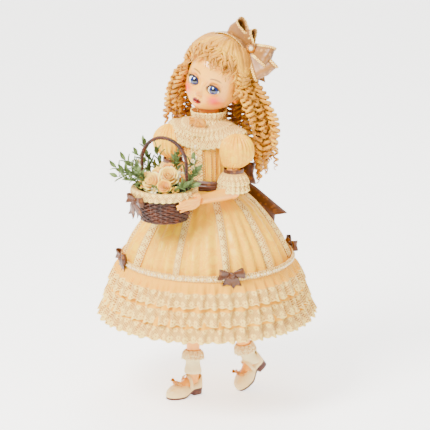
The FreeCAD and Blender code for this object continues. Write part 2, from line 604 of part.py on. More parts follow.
def arm(name, side, forward, palm_angle):
    """One arm: upper arm, forearm with its hand on the basket, puff sleeve, band and lace cuff."""
    top = Vector(side * value("shoulder_half"), 0, shoulder)
    elbow = Vector(side * value("elbow_half"), -forward, shoulder - value("upper_arm_length"))
    inner = value("arm_inner")
    clip = primitive("Box", at(inner - 100 if side > 0 else -inner, -60, shoulder - 130),
                     Length="100", Width="120", Height="260")
    joint = primitive("Sphere", at(*top), Radius="shoulder_ball")
    shaft = rod(tuple(top), tuple(elbow), "upper_arm_radius")
    bore = rod((0, 0, shoulder), (side * value("shoulder_half + shoulder_ball / 2 + gap"), 0, shoulder),
               "arm_wire_radius + run_gap")
    tip = primitive("Sphere", at(*elbow), Radius="upper_arm_radius")
    node(cut(cut(fuse(joint, shaft, tip), clip), bore), name + "_upper_arm")

    palm_z = rim_z - value("palm_high + gap + 1")
    swing = math.radians(palm_angle)
    reach = wall_radius(palm_z) + value("palm_thick + gap + 1")
    palm = Vector(basket_x + side * reach * math.cos(swing), basket_y + reach * math.sin(swing), palm_z)
    taper = math.degrees(math.atan(value("(rim_radius - base_radius) / basket_depth")))
    hand = loft([
        ("0 - palm_high", 0, "palm_thick / 2", "palm_long * 0.55"), ("0 - palm_high / 2", 0, "palm_thick", "palm_long * 0.9"),
        ("palm_high / 2", 0, "palm_thick", "palm_long"), ("palm_high", 0, "palm_thick / 2", "palm_long * 0.6"),
    ], at(*palm, UP, side * palm_angle) * at(0, 0, 0, BACK, side * taper))
    fingers = []
    step = value("palm_high * 2 - 2 * finger_radius") / 3
    for i in range(4):
        z = palm_z + value("palm_high - finger_radius") - i * step * 0.96
        ring = wall_radius(z) + value("finger_radius + gap") + 0.3
        sweep = value("finger_turn") - 3 * abs(i - 1)
        first = palm_angle if side > 0 else 180 - palm_angle
        spots = []
        for share in (0, 0.5, 1):
            angle = math.radians(first - side * sweep * share)
            spots.append((basket_x + (ring + 0.6) * math.cos(angle), basket_y + (ring + 0.6) * math.sin(angle), z))
        fingers += [rod(spots[0], spots[1], "finger_radius"), rod(spots[1], spots[2], "finger_radius")]
    along = (palm - elbow).normalize()
    wrist = palm - along * value("palm_long") * 0.7 + Vector(side * 0.8, 0, 0)
    sleeve_arm = rod(tuple(top), tuple(elbow), "upper_arm_radius + gap")
    forearm = rod(tuple(elbow), tuple(wrist), "elbow_radius - 0.5", "wrist_radius - 1.3")
    bend = primitive("Sphere", at(*elbow), Radius="upper_arm_radius + gap")
    node(cut(fuse(forearm, hand, *fingers), fuse(sleeve_arm, bend)), name + "_forearm")

    centre = Vector(side * value("elbow_half - 3"), -value("sleeve_forward"), shoulder - value("sleeve_drop"))
    puff = ellipsoid(at(*centre), "sleeve_radius", "sleeve_radius", "sleeve_half_height")
    lower = elbow + (elbow - top) * 0.4
    tunnel = fuse(rod(tuple(top), tuple(lower), "upper_arm_radius + gap"),
                  primitive("Sphere", at(*top), Radius="shoulder_ball + gap"))
    low = centre.z - value("sleeve_half_height") + 1.4
    share = (shoulder - low) / value("upper_arm_length")
    axis = top + (elbow - top) * share
    below = primitive("Box", at(axis.x - 60, axis.y - 60, low - 40), Length="120", Width="120", Height="40")
    node(cut(cut(puff, clip), fuse(tunnel, below)), name + "_puff_sleeve")

    ring_low = low - value("gap + band_high")
    node(cut(primitive("Cylinder", at(axis.x, axis.y, ring_low), Radius="upper_arm_radius + band_out + 1.4", Height="band_high"),
             rod(tuple(top), tuple(lower), "upper_arm_radius + gap")), name + "_sleeve_band")

    cuff_top = ring_low - value("gap") + 4
    base = Vector(elbow.x + side, elbow.y - 1, ring_low - value("gap + cuff_height"))
    slope = (base - Vector(axis.x, axis.y, cuff_top)).normalize()
    cone = rod((axis.x, axis.y, cuff_top), tuple(base), "upper_arm_radius + 3.6", "cuff_radius")
    core = rod(tuple(Vector(axis.x, axis.y, cuff_top) - slope * 6), tuple(base + slope * 0.2),
               "upper_arm_radius + 3.6 - cloth", "cuff_radius - cloth")
    way = rod(tuple(elbow - along * 2), tuple(elbow + along * 50), "elbow_radius + gap")
    above = primitive("Box", at(axis.x - 60, axis.y - 60, ring_low - value("gap")), Length="120", Width="120", Height="40")
    node(cut(cone, fuse(core, above, way, primitive("Sphere", at(*elbow), Radius="elbow_radius + gap"))), name + "_lace_cuff")


def leg(name, side, sole, ankle_up):
    """One leg of full-length porcelain with its sock, shoe, sole with heel, and shoe bow."""
    hip = Vector(side * value("hip_half"), 0, value("hip_height"))
    low = sole.multVec(Vector(0, 1, ankle_up))
    knee = hip + (low - hip) * 0.48
    bore = rod((0, 0, hip.z), (side * value("hip_half + hip_ball"), 0, hip.z), "leg_wire_radius + run_gap")
    deck, heel_top = value("sole_thick + gap"), value("heel_high + gap")
    inside = sole.multVec(Vector(0, 0, heel_top + value("ankle_radius")))

    def below(up):
        return padded(name + "_floor", [
            ("0 - 70", f"sole_thick + {up}"), ("0 - 15", f"sole_thick + {up}"), ("0 - 5", f"heel_high + {up}"),
            ("60", f"heel_high + {up}"), ("60", "0 - 60"), ("0 - 70", "0 - 60"),
        ], "120", sole)
    toes = loft([
        ("sole_thick + 1", -12, "shoe_half - 2.8", "shoe_long / 2 - 5"),
        ("sole_thick + 7", -12, "shoe_half - 2.8", "shoe_long / 2 - 4"),
        ("sole_thick + 11.5", -8.5, "shoe_half - 3.4", "shoe_long / 2 - 9"),
        ("sole_thick + shoe_high - 4", -0.5, "ankle_radius - 0.6", "ankle_radius"),
    ], sole)
    limb = fuse(
        primitive("Sphere", at(*hip), Radius="hip_ball"),
        rod(tuple(hip), tuple(knee), "hip_ball", "knee_radius"),
        rod(tuple(knee), tuple(low), "knee_radius", "ankle_radius"),
        primitive("Sphere", at(*low), Radius="ankle_radius"),
        rod(tuple(low), tuple(inside), "ankle_radius"),
        toes,
    )
    node(cut(limb, fuse(bore, below("2 * gap + 1"))), name + "_leg")

    up = (hip - low).normalize()
    cuff_top = low + up * value("sock_height")
    start = sole.multVec(Vector(0, 0, value("sole_thick + shoe_high + gap")))
    skin, knit = "ankle_radius + gap / 2", "ankle_radius + sock_thick + gap / 2"
    sock = fuse(rod(tuple(start), tuple(low), knit), primitive("Sphere", at(*low), Radius=knit),
                rod(tuple(low), tuple(cuff_top), knit, knit + " + 2"))
    core = fuse(rod(tuple(inside), tuple(low), skin), primitive("Sphere", at(*low), Radius=skin),
                rod(tuple(low), tuple(low + up * value("sock_height + 1")), skin, skin + " + 1"))
    shoe_room = padded(name + "_room", [
        ("0 - 60", "0 - 40"), ("60", "0 - 40"), ("60", "sole_thick + shoe_high + gap"), ("0 - 60", "sole_thick + shoe_high + gap"),
    ], "90", sole)
    node(cut(sock, fuse(core, shoe_room)), name + "_sock")

    def shoe(inset):
        return loft([
            (f"sole_thick - {inset}", -12, f"shoe_half - 0.8 - {inset}", f"shoe_long / 2 - 1 - {inset}"),
            ("sole_thick + 5", -12, f"shoe_half - {inset}", f"shoe_long / 2 - {inset}"),
            (f"sole_thick + 9.5 - {inset} / 2", -11.5, f"shoe_half - 0.6 - {inset}", f"shoe_long / 2 - 1.4 - {inset}"),
            (f"sole_thick + 14 - {inset}", -7, f"shoe_half - 0.5 - {inset}", f"shoe_long / 2 - 6.5 - {inset}"),
            (f"sole_thick + shoe_high + {inset}", 0, f"shoe_half - {inset}", f"shoe_half + 1 - {inset}"),
        ], sole)
    node(cut(shoe("0"), fuse(shoe("shoe_wall"), below("gap"))), name + "_shoe")

    side_view = padded(name + "_side", [
        ("0 - 40", "0"), ("0 - 16", "0"), ("0 - 4.5", "heel_high - 2.6"), ("0 - 3.6", "0"),
        ("heel_long - 3.6", "0"), ("heel_long - 3", "heel_high"), ("0 - 5", "heel_high"), ("0 - 15", "sole_thick"),
        ("0 - 40", "sole_thick"),
    ], "60", sole)
    footprint = loft([("0 - 1", -12, "shoe_half - 1", "shoe_long / 2 - 1.4"), ("30", -12, "shoe_half - 1", "shoe_long / 2 - 1.4")], sole)
    node(common(side_view, footprint), name + "_sole")

    node(little_bow(sole * at(0, -23, value("sole_thick") + 17.4, LEFT, 24), 7), name + "_shoe_bow")


def check():
    """Stops with the names of the pieces that failed to build."""
    doc.recompute()
    bad = [o.Label for o in doc.Objects if {"Invalid", "Error"} & set(o.State)]
    for piece in nodes:
        shape = piece.Shape
        if shape.isNull() or not shape.isValid() or min([s.Volume for s in shape.Solids], default=0) <= 0:
            bad.append(piece.Label)
    if bad:
        raise SystemExit(f"these did not build: {sorted(set(bad))}")


torso()
bodice()
sash_bow()
skirt()
head()
wig()
trimmings()
basket()
arm("left", 1, value("left_elbow_forward"), value("left_palm_angle"))
arm("right", -1, value("right_elbow_forward"), value("right_palm_angle"))
toe = at(value("left_toe_out"), value("left_toe_back"), 0, UP, -value("left_turn"))
leg("left", 1, toe * at(0, 0, 0, LEFT, value("left_heel_lift")) * at(0, value("shoe_long / 2 - 1.4") + 12, 0),
    value("ankle_height") - 12)
ankle = at(-value("hip_half - right_cross"), -value("right_step"), 0, UP, -value("right_turn"))
leg("right", -1, ankle, value("ankle_height"))
check()
os.makedirs("parts", exist_ok=True)
for piece in nodes:
    piece.Shape.exportStep(f"parts/{piece.Label}.step")
    print(f"{piece.Label:24s} solids {len(piece.Shape.Solids)} volume {piece.Shape.Volume / 1000:8.2f} cm3")
print(len(nodes), "nodes")
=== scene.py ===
import math

import bmesh
import bpy
import numpy as np
from mathutils import Matrix, Vector, noise


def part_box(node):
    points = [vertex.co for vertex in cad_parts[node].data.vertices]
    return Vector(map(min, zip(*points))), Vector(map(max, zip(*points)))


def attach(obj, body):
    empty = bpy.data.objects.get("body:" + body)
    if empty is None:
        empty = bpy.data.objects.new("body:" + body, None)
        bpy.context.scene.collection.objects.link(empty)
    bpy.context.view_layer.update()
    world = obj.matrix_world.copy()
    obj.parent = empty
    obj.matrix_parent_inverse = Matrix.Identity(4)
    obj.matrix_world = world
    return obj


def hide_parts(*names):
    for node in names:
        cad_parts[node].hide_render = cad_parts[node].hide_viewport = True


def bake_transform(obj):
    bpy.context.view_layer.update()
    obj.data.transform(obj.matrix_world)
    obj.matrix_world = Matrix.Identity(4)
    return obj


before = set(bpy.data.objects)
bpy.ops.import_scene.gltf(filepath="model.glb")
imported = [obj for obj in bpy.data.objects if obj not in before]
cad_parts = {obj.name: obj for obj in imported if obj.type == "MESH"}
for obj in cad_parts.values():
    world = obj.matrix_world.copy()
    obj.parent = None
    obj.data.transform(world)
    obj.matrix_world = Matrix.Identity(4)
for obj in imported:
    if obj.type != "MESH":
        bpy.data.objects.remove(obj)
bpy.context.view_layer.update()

bl_info = {
    "name": "Porcelain doll with flower basket",
    "version": (1, 0, 0),
    "blender": (4, 5, 0),
    "location": "3D View > Sidebar > Doll",
    "description": "Dresses the packed doll with porcelain, lace, ringlets, ribbons and flowers",
    "category": "Object",
}

TAU = 2 * math.pi
RNG = np.random.default_rng(11)


def middle(name):
    """The centre of a CAD node's box, in millimetres."""
    low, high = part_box(name)
    return np.array([(a + b) * 500 for a, b in zip(low, high)])


def ends(name):
    """The lowest and highest corners of a CAD node's box, in millimetres."""
    low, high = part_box(name)
    return np.array(low) * 1000, np.array(high) * 1000


# ---------------------------------------------------------------- materials


class Wave:
    """A number that varies over a surface: a shader socket with Python's operators."""

    def __init__(self, paint, socket):
        self.paint, self.socket = paint, socket

    def __add__(self, other):
        return self.paint.math("ADD", self, other)

    def __radd__(self, other):
        return self.paint.math("ADD", other, self)

    def __sub__(self, other):
        return self.paint.math("SUBTRACT", self, other)

    def __rsub__(self, other):
        return self.paint.math("SUBTRACT", other, self)

    def __mul__(self, other):
        return self.paint.math("MULTIPLY", self, other)

    def __rmul__(self, other):
        return self.paint.math("MULTIPLY", other, self)

    def __truediv__(self, other):
        return self.paint.math("DIVIDE", self, other)

    def __pow__(self, other):
        return self.paint.math("POWER", self, other)


class Paint:
    """One procedural material, built node by node."""

    def __init__(self, name, color, roughness=0.5, **constants):
        self.name = name
        self.material = bpy.data.materials.new(name)
        self.material.use_nodes = True
        self.tree = self.material.node_tree
        self.shader = self.tree.nodes["Principled BSDF"]
        self.set("Base Color", color)
        self.set("Roughness", roughness)
        for key, value in constants.items():
            self.set(key.replace("_", " ").title().replace("Ior", "IOR"), value)

    def node(self, kind, settings=(), inputs=(), output=0):
        """A node of any kind, with its settings made first and its sockets filled by name or number."""
        made = self.tree.nodes.new("ShaderNode" + kind)
        for key, value in dict(settings).items():
            if key == "stops":
                ramp = made.color_ramp
                while len(ramp.elements) < len(value):
                    ramp.elements.new(0.5)
                for element, (place, color) in zip(ramp.elements, value):
                    element.position, element.color = place, (*color, 1) if len(color) == 3 else color
            else:
                setattr(made, key, value)
        for key, value in dict(inputs).items():
            self.plug(made.inputs[key], value)
        return Wave(self, made.outputs[output])

    def plug(self, socket, value):
        if isinstance(value, Wave):
            self.tree.links.new(value.socket, socket)
        elif isinstance(value, (tuple, list)) and len(value) == 3 and len(socket.default_value) == 4:
            socket.default_value = (*value, 1)
        else:
            socket.default_value = value

    def set(self, name, value):
        self.plug(self.shader.inputs[name], value)

    def math(self, kind, a, b=0.0, clamp=False):
        return self.node("Math", {"operation": kind, "use_clamp": clamp}, {0: a, 1: b})

    def coords(self, which="Object", scale=(1, 1, 1), place=(0, 0, 0), turn=(0, 0, 0)):
        where = self.node("TexCoord", output=which)
        return self.node("Mapping", {}, {"Vector": where, "Scale": scale, "Location": place, "Rotation": turn})

    def noise(self, where, scale, detail=3.0, rough=0.55, twist=0.0):
        return self.node("TexNoise", {}, {"Vector": where, "Scale": scale, "Detail": detail, "Roughness": rough, "Distortion": twist})

    def cells(self, where, scale, feature="F1", spread=1.0):
        return self.node("TexVoronoi", {"feature": feature}, {"Vector": where, "Scale": scale, "Randomness": spread})

    def split(self, where):
        made = self.tree.nodes.new("ShaderNodeSeparateXYZ")
        self.plug(made.inputs[0], where)
        return [Wave(self, made.outputs[i]) for i in range(3)]

    def ramp(self, value, stops):
        return self.node("ValToRGB", {"stops": stops}, {0: value})

    def step(self, value, low, high):
        """0 below low and 1 above high, smooth in between."""
        return self.node("MapRange", {"interpolation_type": "SMOOTHSTEP"},
                         {"Value": value, "From Min": low, "From Max": high, "To Min": 0.0, "To Max": 1.0})

    def mix(self, share, a, b, blend="MIX"):
        made = self.tree.nodes.new("ShaderNodeMix")
        made.data_type, made.blend_type = "RGBA", blend
        self.plug(made.inputs[0], share)
        self.plug(made.inputs[6], a)
        self.plug(made.inputs[7], b)
        return Wave(self, made.outputs[2])

    def bump(self, height, strength=0.3, distance=0.0005):
        self.set("Normal", self.node("Bump", {}, {"Strength": strength, "Distance": distance, "Height": height}))


def rgb(r, g, b):
    """A colour given as it looks on a screen, 0 to 255, deepened for the soft film-like view."""
    line = [((c / 255 + 0.055) / 1.055) ** 2.4 if c > 10 else c / 255 / 12.92 for c in (r, g, b)]
    grey = 0.3 * line[0] + 0.6 * line[1] + 0.1 * line[2]
    deep = [min(max(grey + (c - grey) * k, 0.002), 1.0) ** 1.9 for c, k in zip(line, (1.3, 1.2, 1.75))]
    return tuple(deep)


def lace_pattern(p, base, gap_color, motif=0.0105, net=0.0016, rows=2):
    """Lace along a strip whose UV map is in metres: V counts up from the scalloped edge.

    Returns the thread mask, which is 1 on thread and 0 in the holes."""
    u, v, _ = p.split(p.node("TexCoord", output="UV"))
    thread = None
    for row in range(rows):
        cu = p.math("WRAP", u / motif + (0.5 if row % 2 else 0.0), 1.0)
        p.tree.nodes[-1].inputs[2].default_value = 0.0
        x = (cu - 0.5) * motif
        y = v - motif * (0.42 + 0.86 * row)
        r = p.math("SQRT", x * x + y * y)
        a = p.math("ARCTAN2", y, x)
        petals = p.math("COSINE", a * 6.0)
        flower = p.step(r, motif * 0.36, motif * 0.30) * 1.0
        lobes = p.step(r - motif * (0.27 + 0.0 * row) - petals * motif * 0.09, motif * 0.05, 0.0)
        eye = p.step(r, motif * 0.07, motif * 0.11)
        one = lobes * eye * flower
        thread = one if thread is None else p.math("MAXIMUM", thread, one)
    net_u = p.math("PINGPONG", u + v, net)
    net_v = p.math("PINGPONG", u - v + 1.0, net)
    mesh = p.math("MAXIMUM", p.step(net_u, net * 0.42, net * 0.22), p.step(net_v, net * 0.42, net * 0.22))
    edge = p.step(v, 0.0022, 0.0012)
    thread = p.math("MAXIMUM", p.math("MAXIMUM", thread, mesh * 0.9), edge, clamp=True)
    grain = p.noise(p.coords("UV"), 900.0, 2.0)
    # the holes take gap_color: the colour of the cloth beneath them, deepened with painted shade
    color = p.mix(thread, gap_color, p.mix(grain * 0.5, base, tuple(c * 0.82 for c in base)))
    p.set("Base Color", color)
    p.bump(thread + grain * 0.3, 0.5, 0.0006)
    return thread, color, v


def make_materials(sizes):
    """Every finish of the doll, by name."""
    made = {}

    def keep(p):
        made[p.name] = p.material
        return p

    p = keep(Paint("painted_porcelain", (0.8, 0.6, 0.5), 0.3, specular_ior_level=0.5, subsurface_weight=0.06,
                   subsurface_scale=0.004, coat_roughness=0.15))
    tint = p.node("Attribute", {"attribute_name": "tint"}, output="Color")
    speck = p.noise(p.coords("Object"), 260.0, 4.0)
    p.set("Base Color", p.mix(p.step(speck, 0.35, 0.75) * 0.10, tint, rgb(232, 150, 112), "MULTIPLY"))
    p.set("Roughness", 0.24 + 0.14 * p.noise(p.coords("Object"), 90.0, 2.0))
    p.set("Coat Weight", 0.25 + 0.2 * p.noise(p.coords("Object"), 40.0, 2.0))

    p = keep(Paint("plain_porcelain", rgb(247, 198, 150), 0.3, subsurface_weight=0.05, subsurface_scale=0.004, coat_roughness=0.15))
    tone = p.noise(p.coords("Object"), 60.0, 3.0)
    p.set("Base Color", p.mix(tone, rgb(246, 200, 150), rgb(251, 218, 176)))
    p.set("Roughness", 0.24 + 0.14 * tone)
    p.set("Coat Weight", 0.2 + 0.2 * tone)

    p = keep(Paint("eye_glass", (0.5, 0.6, 0.8), 0.08, coat_roughness=0.02, specular_ior_level=0.7))
    tint = p.node("Attribute", {"attribute_name": "tint"}, output="Color")
    p.set("Base Color", tint)
    p.set("Coat Weight", 0.9 + 0.1 * p.noise(p.coords("Object"), 50.0, 1.0))
    p.set("Roughness", 0.06 + 0.05 * p.noise(p.coords("Object"), 120.0, 1.0))

    # the second finish is the ringlet finish darkened throughout for the curl masses beneath the ringlets: painted
    # shade
    for name, dark, light, mid in (("ringlets", rgb(132, 98, 36), rgb(250, 228, 142), rgb(222, 188, 92)),
                                   ("shaded_under_hair", rgb(112, 76, 30), rgb(206, 160, 84), rgb(164, 120, 58))):
        p = keep(Paint(name, mid, 0.42, specular_ior_level=0.45, sheen_weight=0.15, sheen_roughness=0.4))
        where = p.coords("UV", (2600.0, 60.0, 1.0))
        streak = p.noise(where, 1.0, 4.0, 0.6)
        broad = p.noise(p.coords("Object"), 55.0, 2.0)
        u, v, _ = p.split(p.node("TexCoord", output="UV"))
        tone = streak * 0.75 + broad * 0.45 - 0.1
        p.set("Base Color", p.ramp(tone, [(0.26, dark), (0.5, mid), (0.72, light), (0.9, rgb(255, 234, 182))]))
        p.set("Roughness", 0.32 + 0.25 * streak)
        p.bump(streak, 0.6, 0.0007)

    def cloth_weave(p, scale=2600.0):
        u, v, _ = p.split(p.node("TexCoord", output="UV"))
        return p.math("SINE", u * scale) * p.math("SINE", v * scale)

    p = keep(Paint("brocade", rgb(248, 222, 172), 0.5, sheen_weight=0.05, sheen_roughness=0.35, specular_ior_level=0.35))
    where = p.coords("UV", (1, 1, 1))
    vine = p.noise(where, 62.0, 3.0, 0.5, 1.6)
    leaf = p.step(p.math("ABSOLUTE", vine - 0.5), 0.055, 0.02)
    bloom_cells = p.cells(where, 58.0)
    bloom = p.step(bloom_cells, 0.34, 0.26) - p.step(bloom_cells, 0.12, 0.07) * 0.6
    figure = p.math("MAXIMUM", leaf * 0.75, bloom, clamp=True)
    weave = cloth_weave(p)
    shade = p.noise(p.coords("Object"), 22.0, 2.0)
    ground = p.mix(shade, rgb(238, 202, 124), rgb(248, 220, 152))
    p.set("Base Color", p.mix(figure * 0.55, ground, rgb(252, 232, 172)))
    p.set("Roughness", 0.6 - 0.26 * figure + 0.05 * weave)
    p.bump(figure * 0.8 + weave * 0.12, 0.35, 0.0006)

    # each lace lists its thread colour, a hole colour that is the cloth beneath with painted shade, and its motif size
    for name, base, gap_color, motif in (("tier_lace", rgb(253, 236, 202), rgb(206, 158, 98), 0.0125),
                                         ("fine_lace", rgb(253, 238, 206), rgb(210, 168, 110), 0.0085),
                                         ("sock_lace", rgb(255, 246, 228), rgb(220, 190, 150), 0.0065)):
        p = keep(Paint(name, base, 0.75, sheen_weight=0.04, sheen_roughness=0.5))
        thread, color, height = lace_pattern(p, base, gap_color, motif)
        if name == "tier_lace":
            cloth_part = p.step(height, 0.0175, 0.0185)
            p.set("Base Color", p.mix(cloth_part, color, rgb(246, 212, 152)))
            p.set("Alpha", p.math("MINIMUM", thread * 1.2 + 0.8, 1.0))

    # each satin lists a dark tone and a light tone, blended below as painted shade and sheen, and the colour of its
    # woven flowers
    for name, dark, light, flower in (("taupe_satin", rgb(92, 64, 44), rgb(156, 118, 86), rgb(186, 150, 116)),
                                      ("gold_satin", rgb(196, 148, 82), rgb(240, 206, 142), rgb(248, 220, 164)),
                                      ("rose_gold_satin", rgb(136, 104, 82), rgb(206, 176, 150), rgb(228, 202, 178))):
        p = keep(Paint(name, light, 0.32, sheen_weight=0.3, sheen_roughness=0.3, specular_ior_level=0.55, anisotropic=0.5))
        where = p.coords("UV")
        ply = p.noise(p.coords("UV", (90.0, 900.0, 1.0)), 1.0, 3.0)
        spots = p.step(p.cells(where, 150.0), 0.36, 0.26)
        # painted shade and sheen: the fold noise blends the ribbon between its dark and light tones
        fold = p.noise(p.coords("Object"), 70.0, 2.0)
        p.set("Base Color", p.mix(spots * 0.5, p.mix(fold * 0.8 + ply * 0.3, dark, light), flower))
        p.set("Roughness", 0.26 + 0.22 * ply + 0.1 * spots)
        p.bump(ply + spots * 0.6, 0.22, 0.0004)

    p = keep(Paint("gold_metal", rgb(214, 170, 92), 0.25, metallic=1.0))
    wear = p.noise(p.coords("Object"), 500.0, 3.0)
    p.set("Base Color", p.mix(wear, rgb(186, 138, 64), rgb(244, 208, 132)))
    p.set("Roughness", 0.18 + 0.25 * wear)
    p.bump(wear, 0.2, 0.0002)

    p = keep(Paint("pearl", rgb(246, 236, 220), 0.22, coat_roughness=0.1))
    p.set("Base Color", p.mix(p.noise(p.coords("Object"), 300.0, 2.0), rgb(236, 220, 200), rgb(255, 248, 236)))
    p.set("Coat Weight", 0.5 + 0.3 * p.noise(p.coords("Object"), 200.0, 1.0))

    p = keep(Paint("wicker", rgb(120, 72, 32), 0.45, specular_ior_level=0.5))
    grain = p.noise(p.coords("UV", (900.0, 90.0, 1.0)), 1.0, 4.0)
    patch = p.noise(p.coords("Object"), 80.0, 2.0)
    p.set("Base Color", p.ramp(grain * 0.6 + patch * 0.5, [(0.25, rgb(48, 30, 12)), (0.5, rgb(98, 66, 28)), (0.75, rgb(160, 116, 60))]))
    p.set("Roughness", 0.3 + 0.3 * grain)
    p.bump(grain, 0.5, 0.0004)

    for name, outer, inner, tip in (("cream_petals", rgb(252, 240, 196), rgb(244, 212, 126), rgb(255, 250, 224)),
                                    ("amber_petals", rgb(248, 222, 140), rgb(232, 182, 78), rgb(252, 238, 178)),
                                    ("white_petals", rgb(250, 244, 228), rgb(228, 206, 150), rgb(255, 253, 246))):
        p = keep(Paint(name, outer, 0.62, sheen_weight=0.3, subsurface_weight=0.08, subsurface_scale=0.002))
        u, v, _ = p.split(p.node("TexCoord", output="UV"))
        vein = p.noise(p.coords("UV", (40.0, 6.0, 1.0)), 1.0, 2.0)
        p.set("Base Color", p.mix(v * 0.9 + vein * 0.25 - 0.1, inner, p.mix(p.step(v, 0.7, 1.0), outer, tip)))
        p.set("Roughness", 0.5 + 0.25 * vein)
        p.bump(vein, 0.25, 0.0003)

    for name, dark, light in (("grey_leaf", rgb(84, 104, 78), rgb(176, 188, 158)), ("green_leaf", rgb(62, 84, 42), rgb(142, 156, 98))):
        p = keep(Paint(name, light, 0.55, specular_ior_level=0.4))
        u, v, _ = p.split(p.node("TexCoord", output="UV"))
        rib = p.step(p.math("ABSOLUTE", u - 0.5), 0.08, 0.02)
        tone = p.noise(p.coords("Object"), 130.0, 3.0)
        p.set("Base Color", p.mix(rib * 0.5, p.mix(tone, dark, light), light))
        p.set("Roughness", 0.45 + 0.3 * tone)
        p.bump(rib + tone * 0.4, 0.3, 0.0003)

    p = keep(Paint("shoe_leather", rgb(250, 236, 212), 0.3, specular_ior_level=0.55, coat_roughness=0.2))
    grain = p.cells(p.coords("Object"), 1500.0)
    tone = p.noise(p.coords("Object"), 70.0, 3.0)
    p.set("Base Color", p.mix(tone, rgb(244, 226, 196), rgb(254, 244, 226)))
    p.set("Coat Weight", 0.3 + 0.3 * tone)
    p.set("Roughness", 0.26 + 0.2 * tone)
    p.bump(grain, 0.12, 0.0002)

    p = keep(Paint("sole_leather", rgb(118, 76, 40), 0.5))
    _, _, z = p.split(p.coords("Object"))
    stack = p.math("SINE", z * 4200.0) * 0.5 + p.noise(p.coords("Object"), 300.0, 3.0)
    p.set("Base Color", p.mix(stack, rgb(84, 50, 24), rgb(152, 102, 58)))
    p.set("Roughness", 0.4 + 0.2 * stack)
    p.bump(stack, 0.25, 0.0003)

    p = keep(Paint("lashes", rgb(46, 26, 14), 0.5))
    p.set("Base Color", p.mix(p.noise(p.coords("Object"), 900.0, 2.0), rgb(38, 20, 12), rgb(78, 48, 26)))

    p = keep(Paint("plain_cotton", rgb(240, 226, 198), 0.85, sheen_weight=0.2))
    _, _, z = p.split(p.coords("Object"))
    x, y, _ = p.split(p.coords("Object"))
    weave = p.math("SINE", z * 5200.0) * p.math("SINE", (x + y) * 5200.0)
    p.set("Base Color", p.mix(weave * 0.4 + p.noise(p.coords("Object"), 40.0) * 0.6, rgb(226, 208, 176), rgb(250, 240, 216)))
    p.bump(weave, 0.3, 0.0004)

    p = keep(Paint("steel_wire", (0.5, 0.5, 0.5), 0.35, metallic=1.0))
    scratch = p.noise(p.coords("Object", (40.0, 900.0, 900.0)), 1.0, 3.0)
    p.set("Base Color", p.mix(scratch, (0.3, 0.3, 0.3), (0.62, 0.62, 0.6)))
    p.set("Roughness", 0.25 + 0.3 * scratch)

    p = keep(Paint("cork", rgb(176, 130, 84), 0.85))
    spots = p.cells(p.coords("Object"), 420.0)
    p.set("Base Color", p.mix(p.step(spots, 0.2, 0.6), rgb(110, 72, 40), rgb(190, 146, 98)))
    p.bump(spots, 0.4, 0.0005)

    p = keep(Paint("moss_foam", rgb(74, 88, 50), 0.95))
    fuzz = p.noise(p.coords("Object"), 420.0, 5.0)
    p.set("Base Color", p.mix(fuzz, rgb(40, 52, 24), rgb(112, 122, 72)))
    p.bump(fuzz, 0.9, 0.0012)

    p = keep(Paint("floor", rgb(238, 234, 228), 0.6, emission_color=(1.0, 0.99, 0.975), emission_strength=1.7))
    p.set("Base Color", p.mix(p.noise(p.coords("Object"), 6.0, 2.0) * 0.3, (0.96, 0.96, 0.95), (0.93, 0.93, 0.92)))
    return made


# ---------------------------------------------------------------- mesh making


